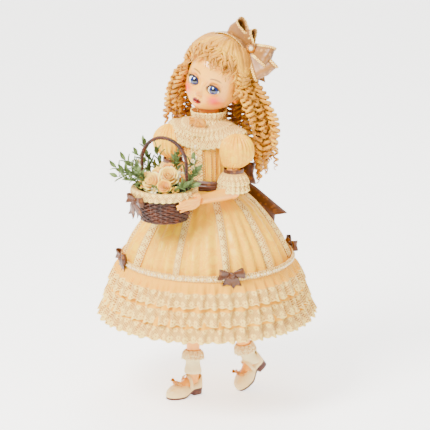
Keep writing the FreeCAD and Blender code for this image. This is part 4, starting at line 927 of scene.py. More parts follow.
def build_skirt():
    """Brocade skirt in soft folds, with insertion lace down its seams."""
    cloth = Cloth()
    turn = np.linspace(-math.pi, math.pi, 441)
    z = np.linspace(258.6, 168.5, 46)
    zz, tt = np.meshgrid(z, turn, indexing="ij")
    points = ring_points(skirt_radius(zz, tt), tt, zz)
    uv = np.stack([tt * 0.085, -zz * 0.001], -1)
    cloth.sheet(points, 1.2, uv.reshape(-1, 2), wrap=True, flip=False)
    skirt = settle(cloth.make("brocade_skirt", "brocade"), "torso", "skirt", slot="brocade")
    declare_cloth(skirt, 600)

    for index in range(10):
        middle_turn = math.radians(8 + 36 * index)
        strip = Cloth()
        z = np.linspace(252, 172, 60)
        half = 4.2
        s = np.linspace(-1, 1, 15)
        zz, ss = np.meshgrid(z, s, indexing="ij")
        radius = np.interp(zz, *map(np.array, zip(*[(h, r) for h, r in SKIRT[::-1]])))
        tt = middle_turn + ss * half / radius
        points = ring_points(skirt_radius(zz, tt, 1.3 + 0.5 * (1 - ss ** 2)), tt, zz)
        uv = np.stack([(258 - zz) * 0.001, (ss + 1) * half * 0.001 + 0.0005], -1)
        strip.sheet(points, 0.5, uv.reshape(-1, 2), flip=False)
        for edge in (-1, 1):
            tt = middle_turn + edge * half / np.interp(z, *map(np.array, zip(*[(h, r) for h, r in SKIRT[::-1]])))
            strip.tube(ring_points(skirt_radius(z, tt, 1.6), tt, z), 0.45, sides=6)
        settle(strip.make(f"insertion_lace_{index + 1}", "fine_lace"), "torso", slot="cream_lace")


def frill(cloth, top, bottom, around, waves, depth, hem=2.2, motif=12.5, rows=26, columns=1100, thick=0.7, layers=1, seed=0, start=0.0, gather=1.35, cy=0.0, arc=(-math.pi, math.pi), drop=None):
    """Gathered lace hanging from one ring to another: top and bottom are (height, radius)."""
    rng = np.random.default_rng(seed)
    turn = np.linspace(*arc, columns)
    full = abs(arc[1] - arc[0]) > TAU - 0.01
    t = np.linspace(0, 1, rows)[:, None]
    phase = sum(a * np.sin(turn * k + p) for a, k, p in zip((0.9, 0.6, 0.5), (5, 9, 14), rng.uniform(0, 6, 3)))
    wave = np.sin(turn * waves + phase) + 0.35 * np.sin(turn * (waves * 2 - 3) + phase * 1.7)
    radius = top[1] + (bottom[1] - top[1]) * t ** around + depth * wave[None] * smooth(t, 0.0, 0.55) + 0.5 * np.abs(np.sin(turn * waves * 1.5))[None] * (1 - t)
    flat = turn * bottom[1] * gather
    scallop = hem * (np.abs(np.sin(flat / motif * math.pi)) - 0.6)
    z = top[0] + (bottom[0] - top[0]) * t - scallop[None] * smooth(t, 0.6, 1.0) + (0 if drop is None else drop(turn)[None] * t)
    points = ring_points(radius, turn[None], z, cy)
    height = math.hypot(top[0] - bottom[0], bottom[1] - top[1])
    v = height * (1 - t) + 0 * turn[None]
    uv = np.stack([np.broadcast_to(flat[None], v.shape), v], -1) * 0.001
    cloth.sheet(points, thick, uv.reshape(-1, 2), wrap=full, flip=False)


def build_tiers():
    """Three gathered tiers of scalloped lace with a beading band above them."""
    table = [("top", (170.2, 99.8), (141.0, 115.5), 3), ("middle", (150.0, 105.0), (120.6, 121.8), 5), ("bottom", (132.0, 109.5), (102.8, 128.6), 8)]
    for word, top, bottom, seed in table:
        cloth = Cloth()
        frill(cloth, top, bottom, 0.75, 44, 3.1, seed=seed, columns=1001, rows=16)
        tier = settle(cloth.make("lace_tier_" + word, "tier_lace"), "torso", "ruffle_" + word, slot="cream_lace")
        declare_cloth(tier, 32)
    lining = Cloth()
    turn = np.linspace(-math.pi, math.pi, 321)
    t = np.linspace(0, 1, 14)[:, None]
    radius = 98.4 + 15.5 * t + 1.5 * np.sin(turn * 44)[None] * t
    lining.sheet(ring_points(radius, turn[None], 168.5 - 58 * t), 1.0, np.stack([np.broadcast_to(turn[None] * 0.11, radius.shape), np.broadcast_to(t * 0.06, radius.shape)], -1).reshape(-1, 2), wrap=True, flip=False)
    settle(lining.make("tier_lining", "brocade"), "torso", slot="brocade")

    band = Cloth()
    turn = np.linspace(-math.pi, math.pi, 721)
    s = np.linspace(-1, 1, 11)[:, None]
    radius = 101.8 + 1.0 * (1 - s ** 2) + 0.35 * np.cos(turn * 34)[None] + 0 * s
    z = 173.0 - s * 3.4 - 0.5 * np.abs(np.sin(turn * 55))[None] * s
    uv = np.stack([np.broadcast_to(turn[None] * 0.1, radius.shape), np.broadcast_to((1 - s) * 0.0034, radius.shape)], -1)
    band.sheet(ring_points(radius, turn[None], z), 0.8, uv.reshape(-1, 2), wrap=True, flip=False)
    for edge in (3.2, -3.2):
        band.tube(ring_points(102.6, turn, 173.0 + edge), 0.65, sides=6, caps=False)
    settle(band.make("beading_band", "fine_lace"), "torso", "beading_lace", slot="cream_lace")

    beads = Cloth()
    polar, round_about = np.meshgrid(np.linspace(0, math.pi, 7), np.linspace(0, TAU, 9), indexing="ij")
    ball = np.stack([np.sin(polar) * np.cos(round_about), np.sin(polar) * np.sin(round_about), np.cos(polar)], -1)
    for k in range(132):
        a = TAU * k / 132
        size = 1.25 if k % 3 else 1.6
        beads.grid(ball * size + np.array([103.9 * math.sin(a), -103.9 * math.cos(a), 173.0]), wrap=True)
    settle(beads.make("beading_pearls", "pearl"), "torso", slot="pearl")

    bows = Cloth()
    for k in range(4):
        a = math.radians(46 + 90 * k)
        out = Vector((math.sin(a), -math.cos(a), 0))
        m = frame_at(out * 105.5 + Vector((0, 0, 178.0)), (math.cos(a), math.sin(a), 0), (0, 0, 1))
        tie_bow(bows, m, 15.5, 12.5, tails=(((0.45, 0, -1), 17, 1.0), ((-0.45, 0, -1), 15, 1.0)), rise=0.22)
    settle(bows.make("skirt_front_bows", "taupe_satin"), "torso", "skirt_bows", slot="taupe_satin")


def bodice_points(z, turn, over=0.0):
    table = np.array(BODICE)
    half, deep, cy = (np.interp(z, table[:, 0], table[:, c]) for c in (1, 2, 3))
    bust = 2.4 * smooth(z, 284, 304) * (1 - smooth(z, 312, 332)) * np.clip(np.cos(turn), 0, 1) ** 2
    return np.stack(np.broadcast_arrays((half + over) * np.sin(turn), cy - (deep + over + bust) * np.cos(turn), z), -1)


def build_bodice():
    """Fitted brocade bodice with tucks, lace placket, bertha, standing collar, buttons and throat bow."""
    cloth = Cloth()
    turn = np.linspace(-math.pi, math.pi, 401)
    z = np.linspace(259.2, 338.4, 56)
    zz, tt = np.meshgrid(z, turn, indexing="ij")
    tuck = 0.55 * np.maximum(np.cos(tt * 30), -0.2) * smooth(np.abs(zz - 298), 40, 20)
    points = bodice_points(zz, tt, 0) + 0
    out = np.stack([np.sin(tt), -np.cos(tt), 0 * tt], -1)
    points = points + out * tuck[..., None]
    cloth.grid(points, np.stack([tt * 0.028, zz * 0.001], -1).reshape(-1, 2), wrap=True, flip=False)
    for row in (0, -1):
        line = points[row]
        hub = np.array([0, line[:, 1].mean(), line[0, 2]])
        k = np.arange(len(line) - 1)
        face = np.stack([k, k + 1, np.full(len(k), len(line))], 1)
        cloth.add(np.concatenate([line, hub[None]]), face if row else face[:, ::-1])
    settle(cloth.make("brocade_bodice", "brocade"), "torso", "bodice", slot="brocade")

    placket = Cloth()
    z = np.linspace(334.0, 268, 70)
    s = np.linspace(-1, 1, 21)
    zz, ss = np.meshgrid(z, s, indexing="ij")
    tt = ss * 0.27
    ripple = 0.5 * np.sin(zz * 1.5) * np.abs(ss) ** 2
    points = bodice_points(zz, tt, 1.2) + np.stack([0 * tt, -0.7 * (1 - ss ** 2) - ripple, 0 * tt], -1)
    uv = np.stack([(340 - zz) * 0.001, (ss + 1) * 0.0062 + 0.0004], -1)
    placket.sheet(points, 0.5, uv.reshape(-1, 2), flip=True)
    for side in (-1, 1):
        for place in (0.33, 0.62, 0.8):
            zz = np.linspace(330, 266, 60)
            line = bodice_points(zz, side * np.full(60, place), 1.3)
            placket.tube(line, 0.55, sides=6)
    settle(placket.make("lace_placket", "fine_lace"), "torso", slot="cream_lace")

    bertha = Cloth()
    turn = np.linspace(-math.pi, math.pi, 641)
    front = np.abs(np.cos(turn))
    side = np.abs(np.sin(turn))
    t = np.linspace(0, 1, 20)[:, None]
    half = 18.2 + (50.5 - 18.2) * smooth(t, -0.1, 0.85)
    deep = 18.0 + (26.5 - 18.0) * smooth(t, -0.1, 0.8)
    wave = np.sin(turn * 42 + 1.3 * np.sin(turn * 5))
    cy = 4 * (1 - t)
    x = (half + 1.4 * wave[None] * t) * np.sin(turn)[None]
    y = cy - (deep + 1.3 * wave[None] * t) * np.cos(turn)[None]
    scallop = 1.2 * np.abs(np.sin(turn * 23))
    z = 339.6 - 7.2 * t ** 1.1 * side[None] ** 2 - (27.0 * t ** 1.35) * front[None] ** 1.4 - 2.8 * t - scallop[None] * smooth(t, 0.7, 1)
    points = np.stack(np.broadcast_arrays(x, y, z), -1)
    flat = turn * 60
    uv = np.stack([np.broadcast_to(flat[None], x.shape), np.broadcast_to(30 * (1 - t), x.shape)], -1) * 0.001
    bertha.sheet(points, 0.6, uv.reshape(-1, 2), wrap=True, flip=False)
    inner = np.stack(np.broadcast_arrays(x * (0.6 + 0.25 * (1 - t)), y * 0.985 - 0.6 * np.sign(y), z * 0 + 340.4 - 4.2 * t - (12.0 * t ** 1.2) * front[None] ** 1.3), -1)
    bertha.sheet(inner, 0.6, uv.reshape(-1, 2), wrap=True, flip=False)
    piece = settle(bertha.make("bertha_lace", "fine_lace"), "torso", "yoke_lace", slot="cream_lace")
    declare_cloth(piece, 40)

    collar = Cloth()
    frill(collar, (339.6, 18.6), (350.6, 21.0), 1.2, 30, 0.55, hem=-1.0, motif=6.0, columns=421, rows=12, thick=0.5, seed=4, cy=4, gather=1.2)
    frill(collar, (341.5, 19.2), (336.6, 22.6), 1.0, 34, 0.8, hem=0.9, motif=6.0, columns=421, rows=9, thick=0.5, seed=6, cy=4, gather=1.2)
    angle = np.linspace(0, TAU, 121)
    collar.tube(ring_points(19.6, angle, 340.6, 4), 0.8, sides=8, caps=False)
    settle(collar.make("standing_collar", "fine_lace"), "torso", "lace_collar", slot="cream_lace")

    bow = Cloth()
    tie_bow(bow, frame_at((0, -22.8, 342.0), (1, 0, 0), (0, -0.35, 1)), 10.5, 8.6, tails=(((0.5, 0, -1), 13, 0.5), ((-0.5, 0, -1), 13, 0.5)), rise=0.1)
    settle(bow.make("throat_ribbon", "gold_satin"), "torso", "throat_bow", slot="gold_satin")
    jewel = Cloth()
    polar, round_about = np.meshgrid(np.linspace(0, math.pi, 15), np.linspace(0, TAU, 25), indexing="ij")
    ball = np.stack([np.sin(polar) * np.cos(round_about), -np.cos(polar), np.sin(polar) * np.sin(round_about)], -1)
    for z in (312.0, 299.0, 286.0):
        seat = bodice_points(np.array(z), np.array(0.0), 2.4)
        jewel.grid(ball * np.array([2.3, 1.3, 2.3]) + seat, wrap=True, flip=False)
    settle(jewel.make("pearl_buttons", "pearl"), "torso", "buttons", slot="pearl")

    band = Cloth()
    turn = np.linspace(-math.pi, math.pi, 241)
    s = np.linspace(-1, 1, 17)[:, None]
    pleat = 0.7 * np.sin(s * 9 + 0.6 * np.sin(turn * 4)[None])
    half, deep = 30.2 + 1.4 * (1 - s ** 2) + pleat, 23.9 + 1.4 * (1 - s ** 2) + pleat
    points = np.stack(np.broadcast_arrays(half * np.sin(turn)[None], -deep * np.cos(turn)[None], 264 - s * 6.2 + 0 * turn[None]), -1)
    uv = np.stack([np.broadcast_to(turn[None] * 0.03, half.shape), np.broadcast_to(s * 0.006, half.shape)], -1)
    band.sheet(points, 1.2, uv.reshape(-1, 2), wrap=True, flip=False)
    settle(band.make("satin_sash", "taupe_satin"), "torso", "sash_band", slot="taupe_satin")
    back = Cloth()
    tie_bow(back, frame_at((0, 35.0, 266.5), (-1, 0, 0), (0, 0.35, 1)), 43, 26, tails=(((-57, -57, -40), 92, 3), ((-39, -56, -37), 88, 3)), knot=7, rise=0.22, puff=8)
    settle(back.make("sash_tied_bow", "taupe_satin"), "torso", "sash_bow", slot="taupe_satin")


# ---------------------------------------------------------------- arms


def build_arm(side, word, elbow, palm, palm_angle, top):
    """Puff sleeve, band, lace cuff and a modelled hand on the basket for one arm."""
    top, elbow, palm = (np.array(v, float) for v in (top, elbow, palm))
    centre = np.array([side * 45.0, -8, 309])
    sleeve = Cloth()
    polar = np.linspace(0.10, math.pi - 0.46, 60)
    turn = np.linspace(-math.pi, math.pi, 241)
    pp, tt = np.meshgrid(polar, turn, indexing="ij")
    pleat = np.cos(tt * 24 + 0.8 * np.sin(tt * 5))
    swell = 1 + 0.050 * pleat * (np.abs(np.cos(pp)) ** 0.8 + 0.16) + 0.02 * np.sin(tt * 7 + pp * 2)
    x = 20.9 * swell * np.sin(pp) * np.sin(tt) + centre[0]
    y = -20.9 * swell * np.sin(pp) * np.cos(tt) + centre[1]
    z = 20.8 * np.cos(pp) * (1 + 0.03 * pleat * np.sin(pp)) + centre[2]
    drift = smooth(-np.cos(pp), 0.4, 0.95)
    axis = top + (elbow - top) * (322 - 289) / 60
    x = x + (axis[0] - centre[0]) * drift
    y = y + (axis[1] - centre[1]) * drift
    x = side * np.maximum(side * x, 29.4 + 0.6 * np.cos(tt * 9))
    z = np.maximum(z, 288.9)
    sleeve.grid(np.stack([x, y, z], -1), np.stack([tt * 0.021, pp * 0.021], -1).reshape(-1, 2), wrap=True, flip=True)
    for row in (0, -1):
        line = np.stack([x, y, z], -1)[row]
        k = np.arange(len(line) - 1)
        face = np.stack([k, k + 1, np.full(len(k), len(line))], 1)
        sleeve.add(np.concatenate([line, line.mean(0)[None]]), face if not row else face[:, ::-1], np.zeros((len(line) + 1, 2)))
    settle(sleeve.make(word + "_gathered_sleeve", "brocade"), word + "_arm", word + "_puff_sleeve", slot="brocade")

    band = Cloth()
    angle = np.linspace(0, TAU, 81)
    path = np.stack([axis[0] + 0.4 * side + 11.4 * np.cos(angle), axis[1] - 0.4 + 11.4 * np.sin(angle), 286.3 + 0 * angle], 1)
    ribbon(band, path, 4.2, (0, 0, 1), 1.0, fold=0.1)
    for h in (284.3, 288.2):
        band.tube(path * [1, 1, 0] + [0, 0, h], 0.6, sides=6, caps=False)
    settle(band.make(word + "_sleeve_ribbon", "taupe_satin"), word + "_arm", word + "_sleeve_band", slot="taupe_satin")

    cuff = Cloth()
    base = np.array([elbow[0] + side, elbow[1] - 1])
    for high, low, wide, seed in ((284.4, 265.6, 18.6, 3), (284.2, 273.4, 18.2, 9)):
        turn = np.linspace(-math.pi, math.pi, 321)
        t = np.linspace(0, 1, 14)[:, None]
        wave = np.sin(turn * 17 + np.sin(turn * 3 + seed))
        radius = 11.4 + (wide - 11.4) * t ** 0.7 + 1.2 * wave[None] * smooth(t, 0, 0.6)
        share = (284.4 - (high + (low - high) * t)) / 20.4
        cx, cy = axis[0] + (base[0] - axis[0]) * share, axis[1] + (base[1] - axis[1]) * share
        z = high + (low - high) * t - 1.1 * np.abs(np.sin(turn * 10))[None] * smooth(t, 0.6, 1)
        points = np.stack(np.broadcast_arrays(cx + radius * np.sin(turn)[None], cy - radius * np.cos(turn)[None], z), -1)
        flat = turn[None] * 24
        uv = np.stack(np.broadcast_arrays(flat, 18 * (1 - t) + 0 * flat), -1) * 0.001
        cuff.sheet(points, 0.55, uv.reshape(-1, 2), wrap=True, flip=False)
    settle(cuff.make(word + "_cuff_lace", "fine_lace"), word + "_arm", word + "_lace_cuff", slot="cream_lace")

    flesh = Cloth()
    centre = np.array([-8.0, -85.4])
    start = math.radians(palm_angle if side > 0 else 180 - palm_angle)
    way = -side

    def on_wall(angle, z, out):
        r = 27 + (36 - 27) * (z - 238) / 33 + out
        return np.array([centre[0] + r * math.cos(angle), centre[1] + r * math.sin(angle), z])

    along = palm - elbow
    along /= np.linalg.norm(along)
    steps = np.linspace(0, 1, 14)
    wrist = on_wall(start - way * 0.16, 262.5, 9.0)
    path = elbow + (wrist - elbow) * steps[:, None]
    flesh.tube(path, np.interp(steps, [0, 0.25, 0.7, 0.92, 1], [6.8, 7.6, 6.2, 5.4, 5.6]), sides=28)
    for i in range(4):
        z = 266.4 - 3.75 * i
        sweep = math.radians((42, 47, 45, 38)[i])
        knuckle = on_wall(start + way * 0.06, z, 5.3)
        root = on_wall(start - way * 0.12, 262.5 + (z - 261) * 0.7, 7.2)
        flesh.tube(np.linspace(root, knuckle, 6), np.linspace(3.4, 2.7, 6), sides=14)
        t = np.linspace(0, 1, 14)
        bend = np.array([on_wall(start + way * (0.06 + (sweep - 0.06) * s), z + 1.1 * math.sin(s * 3.0) - 0.8 * s, 5.3 - 2.2 * math.sin(s * 2.1) ** 2) for s in t])
        flesh.tube(bend, 2.45 - 0.85 * t ** 1.3, sides=14)
        tip = bend[-1]
        polar, round_about = np.meshgrid(np.linspace(0, math.pi, 9), np.linspace(0, TAU, 13), indexing="ij")
        ball = np.stack([np.sin(polar) * np.cos(round_about), np.sin(polar) * np.sin(round_about), np.cos(polar)], -1)
        flesh.grid(ball * 1.75 + tip, wrap=True)
    thumb = np.array([on_wall(start + way * (0.0 + 0.34 * s), 268.5 + 4.6 * math.sin(s * 2.2), 6.8 + 0.4 * s) for s in np.linspace(0, 1, 12)])
    flesh.tube(thumb, np.linspace(2.9, 1.9, 12), sides=14)
    hand = flesh.make(word + "_hand", "plain_porcelain")
    remesh = hand.modifiers.new("join", "REMESH")
    remesh.mode, remesh.voxel_size, remesh.use_smooth_shade = "VOXEL", 0.00058, True
    ease = hand.modifiers.new("ease", "SMOOTH")
    ease.factor, ease.iterations = 0.7, 5
    bpy.context.view_layer.update()
    mesh = bpy.data.meshes.new_from_object(hand.evaluated_get(bpy.context.evaluated_depsgraph_get()))
    hand.modifiers.clear()
    hand.data = mesh
    mesh.materials.clear()
    mesh.materials.append(MATERIALS["plain_porcelain"])
    settle(hand, word + "_arm", word + "_forearm", slot="porcelain")


# ---------------------------------------------------------------- basket and flowers

BASKET = np.array([-8.0, -85.4])
RIM = 271.0


def wall(angle, z, over=0.0):
    radius = 27 + 9 * (z - 238) / 33 + over
    return np.stack(np.broadcast_arrays(BASKET[0] + radius * np.sin(angle), BASKET[1] - radius * np.cos(angle), z), -1)


def build_basket():
    """Woven wicker basket with twisted rim and handle, hanging lace and a ribbon."""
    weave = Cloth()
    stakes, rows = 30, 13
    angle = np.linspace(0, TAU, stakes * 6 + 1)
    for row in range(rows):
        z = 239.4 + row * 2.45
        over = -0.9 + 1.05 * np.cos(angle * stakes / 2 + math.pi * (row % 2)) + 0 * angle
        weave.tube(wall(angle, z + 0 * angle, over), 1.28, sides=8, flat=1.0, caps=False)
    for k in range(stakes):
        z = np.linspace(238.6, 271.5, 14)
        weave.tube(wall(TAU * k / stakes + 0 * z, z, -0.9), 1.0, sides=8)
    for radius in np.arange(3, 27, 2.6):
        line = np.stack([BASKET[0] + radius * np.sin(angle), BASKET[1] - radius * np.cos(angle), 239.2 + 0.4 * np.cos(angle * stakes / 2 + radius)], 1)
        weave.tube(line, 1.4, sides=6, caps=False)
    inner_turn = np.linspace(-math.pi, math.pi, 81)
    z = np.linspace(238.4, 270.5, 8)
    zz, tt = np.meshgrid(z, inner_turn, indexing="ij")
    weave.sheet(wall(tt, zz, -2.6), 0.6, wrap=True, flip=True)
    settle(weave.make("woven_basket", "wicker"), "left_arm", "basket_bowl", slot="wicker")

    rim = Cloth()
    angle = np.linspace(0, TAU, 301)
    for phase in (0, TAU / 3, 2 * TAU / 3):
        radius = 34.8 + 1.05 * np.cos(angle * 22 + phase)
        line = np.stack([BASKET[0] + radius * np.sin(angle), BASKET[1] - radius * np.cos(angle), 272.6 + 1.05 * np.sin(angle * 22 + phase)], 1)
        rim.tube(line, 1.15, sides=8, caps=False)
    settle(rim.make("twisted_rim", "wicker"), "left_arm", "basket_rim", slot="wicker")

    handle = Cloth()
    lift = np.concatenate([np.stack([np.full(14, 30.0), np.linspace(274.5, 304, 14)], 1),
                           np.stack([30 * np.cos(np.linspace(0, math.pi, 60))[1:-1], 305 + 30 * np.sin(np.linspace(0, math.pi, 60))[1:-1]], 1),
                           np.stack([np.full(14, -30.0), np.linspace(304, 274.5, 14)], 1)])
    length = np.concatenate([[0], np.cumsum(np.linalg.norm(np.diff(lift, axis=0), axis=1))])
    fine = np.linspace(0, length[-1], 420)
    hx, hz = np.interp(fine, length, lift[:, 0]), np.interp(fine, length, lift[:, 1])
    line = np.stack([BASKET[0] + hx, BASKET[1] + 0 * hx, hz], 1)
    along = np.gradient(line, axis=0)
    along /= np.linalg.norm(along, axis=1)[:, None]
    aside = np.cross(along, (0, 1, 0))
    for phase in (0, TAU / 3, 2 * TAU / 3):
        spin = fine * 0.62 + phase
        handle.tube(line + aside * (1.15 * np.cos(spin))[:, None] + np.array([0, 1, 0]) * (1.15 * np.sin(spin))[:, None], 1.15, sides=8)
    settle(handle.make("twisted_handle", "wicker"), "left_arm", "basket_handle", slot="wicker")

    lace = Cloth()
    turn = np.linspace(-math.pi, math.pi, 501)
    t = np.linspace(0, 1, 18)[:, None]
    wave = np.sin(turn * 26 + 0.8 * np.sin(turn * 4))
    radius = 32.6 + 5.9 * smooth(t, 0, 0.42) + 1.7 * smooth(t, 0.4, 1.0) + 1.15 * wave[None] * smooth(t, 0.2, 0.8) - 3.2 * smooth(t, 0.55, 1.0)
    scallop = 1.3 * np.abs(np.sin(turn * 16))
    z = 276.4 + 0.6 * np.sin(t * 3) - 9.0 * smooth(t, 0.28, 1.0) - scallop[None] * smooth(t, 0.75, 1)
    points = np.stack(np.broadcast_arrays(BASKET[0] + radius * np.sin(turn)[None], BASKET[1] - radius * np.cos(turn)[None], z), -1)
    uv = np.stack(np.broadcast_arrays(turn[None] * 42, 20 * (1 - t) + 0 * turn[None]), -1) * 0.001
    lace.sheet(points, 0.5, uv.reshape(-1, 2), wrap=True, flip=False)
    piece = settle(lace.make("basket_rim_lace", "fine_lace"), "left_arm", "basket_lace", slot="cream_lace")
    declare_cloth(piece, 20)

    bow = Cloth()
    a = math.radians(-24)
    out = Vector((math.sin(a), -math.cos(a), 0))
    m = frame_at(Vector((BASKET[0], BASKET[1], 266.5)) + out * 41.5, (math.cos(a), math.sin(a), 0), (0, 0, 1))
    tie_bow(bow, m, 14.5, 11.5, tails=(((0.5, 0, -1), 20, 0.5), ((-0.45, 0, -1), 23, 0.5)), rise=0.15)
    settle(bow.make("basket_ribbon", "taupe_satin"), "left_arm", "basket_bow", slot="taupe_satin")


def rose(cloth, place, up, radius, slot=0, seed=0):
    """A rose of overlapping curled petals, opening along up."""
    rng = np.random.default_rng(seed)
    m = frame_at(place, Vector(up).orthogonal(), up)
    count = 0
    for layer, (petals, open_, tall) in enumerate(((3, 0.18, 0.98), (4, 0.38, 0.98), (5, 0.62, 0.92), (6, 0.88, 0.78), (6, 1.06, 0.5))):
        for k in range(petals):
            turn = TAU * (k + 0.5 * layer) / petals + rng.uniform(-0.15, 0.15)
            v, u = np.meshgrid(np.linspace(0, 1, 9), np.linspace(-1, 1, 9), indexing="ij")
            spread = (1.35 if layer < 2 else 1.0) * TAU / petals * 0.72
            width = np.sqrt(np.clip(np.sin(np.clip(v * 0.93 + 0.07, 0, 1) * math.pi * 0.86), 0, 1))
            angle = turn + u * spread * width * 0.95
            swell = open_ * radius * (0.22 + 0.78 * np.sin(v * math.pi * 0.55) ** 0.8)
            curl = 0.16 * radius * open_ * smooth(v, 0.74, 1.0) * (1 + 0.3 * np.cos(u * 3))
            r = swell + curl
            z = radius * (-0.62 + 1.42 * tall * v ** 0.9) - 0.10 * radius * u ** 2 * v - 0.14 * radius * smooth(v, 0.85, 1.0) * open_
            points = np.stack([r * np.cos(angle), r * np.sin(angle), z], -1)
            uv = np.stack([u * 0.5 + 0.5, v * (0.55 + 0.11 * layer)], -1)
            cloth.sheet(moved(points.reshape(-1, 3), m).reshape(points.shape), 0.3, uv.reshape(-1, 2), slot=slot)
            count += 1
    return count


def blossom(cloth, place, up, radius, slot=0, petals=5):
    m = frame_at(place, Vector(up).orthogonal(), up)
    for k in range(petals):
        v, u = np.meshgrid(np.linspace(0.05, 1, 7), np.linspace(-1, 1, 7), indexing="ij")
        angle = TAU * k / petals + u * 0.55 * np.sqrt(np.sin(np.clip(v, 0.02, 0.98) * math.pi * 0.9))
        r = radius * v
        z = radius * (0.35 * v ** 1.5 - 0.1 * u ** 2)
        points = np.stack([r * np.cos(angle), r * np.sin(angle), z], -1)
        cloth.sheet(moved(points.reshape(-1, 3), m).reshape(points.shape), 0.25, np.stack([u * 0.5 + 0.5, v], -1).reshape(-1, 2), slot=slot)
    polar, around = np.meshgrid(np.linspace(0, math.pi, 6), np.linspace(0, TAU, 8), indexing="ij")
    ball = np.stack([np.sin(polar) * np.cos(around), np.sin(polar) * np.sin(around), np.cos(polar)], -1) * radius * 0.22
    cloth.grid(moved((ball + [0, 0, radius * 0.16]).reshape(-1, 3), m).reshape(ball.shape), np.full((ball.size // 3, 2), 0.02), wrap=True, slot=slot)


SPRIGS = [((-22, -6), (-46, -12, 34)), ((-22, 5), (-54, 12, 22)), ((-19, 7), (-34, 10, 52)), ((-20, -16), (-50, -26, 28)),
          ((-12, 14), (-22, 20, 44)), ((16, 12), (30, 16, 40)), ((24, 8), (38, 10, 28)), ((-14, -21), (-26, -21, 34)), ((6, 15), (10, 14, 44)), ((21, -12), (36, -15, 15))]


def leaf_mesh():
    """One eucalyptus leaf, 10 mm long, for scattering."""
    cloth = Cloth()
    v, u = np.meshgrid(np.linspace(0, 1, 9), np.linspace(-1, 1, 7), indexing="ij")
    width = 2.7 * np.sin(np.clip(v * 0.97 + 0.015, 0, 1) * math.pi) ** 0.8 * (1 - 0.35 * v)
    points = np.stack([u * width, 10 * v, 1.6 * np.sin(v * 2.4) - 0.7 * u ** 2], -1)
    cloth.sheet(points, 0.3, np.stack([u * 0.5 + 0.5, v], -1).reshape(-1, 2))
    piece = cloth.make("leaf_pattern", "grey_leaf")
    bpy.context.scene.collection.objects.unlink(piece)
    return piece


def scatter_tree(leaf, material):
    """Geometry nodes that put the leaf on every point, turned and sized by the points' own attributes."""
    tree = bpy.data.node_groups.new("scatter_leaves", "GeometryNodeTree")
    tree.interface.new_socket("Geometry", in_out="INPUT", socket_type="NodeSocketGeometry")
    size = tree.interface.new_socket("Leaf size", in_out="INPUT", socket_type="NodeSocketFloat")
    size.default_value = 1.0
    tree.interface.new_socket("Geometry", in_out="OUTPUT", socket_type="NodeSocketGeometry")

    def node(kind, **inputs):
        made = tree.nodes.new(kind)
        for key, value in inputs.items():
            key = key.replace("_", " ")
            if isinstance(value, bpy.types.NodeSocket):
                tree.links.new(value, made.inputs[key])
            else:
                made.inputs[key].default_value = value
        return made

    inside = node("NodeGroupInput")
    turn = tree.nodes.new("GeometryNodeInputNamedAttribute")
    turn.data_type = "FLOAT_VECTOR"
    turn.inputs["Name"].default_value = "turn"
    big = tree.nodes.new("GeometryNodeInputNamedAttribute")
    big.data_type = "FLOAT"
    big.inputs["Name"].default_value = "size"
    scale = tree.nodes.new("ShaderNodeMath")
    scale.operation = "MULTIPLY"
    tree.links.new(big.outputs["Attribute"], scale.inputs[0])
    tree.links.new(inside.outputs["Leaf size"], scale.inputs[1])
    source = node("GeometryNodeObjectInfo", Object=leaf)
    points = node("GeometryNodeInstanceOnPoints", Points=inside.outputs["Geometry"], Instance=source.outputs["Geometry"],
                  Rotation=turn.outputs["Attribute"], Scale=scale.outputs[0])
    real = node("GeometryNodeRealizeInstances", Geometry=points.outputs["Instances"])
    finish = node("GeometryNodeSetMaterial", Geometry=real.outputs["Geometry"], Material=material)
    outside = node("NodeGroupOutput", Geometry=finish.outputs["Geometry"])
    return tree, size.identifier


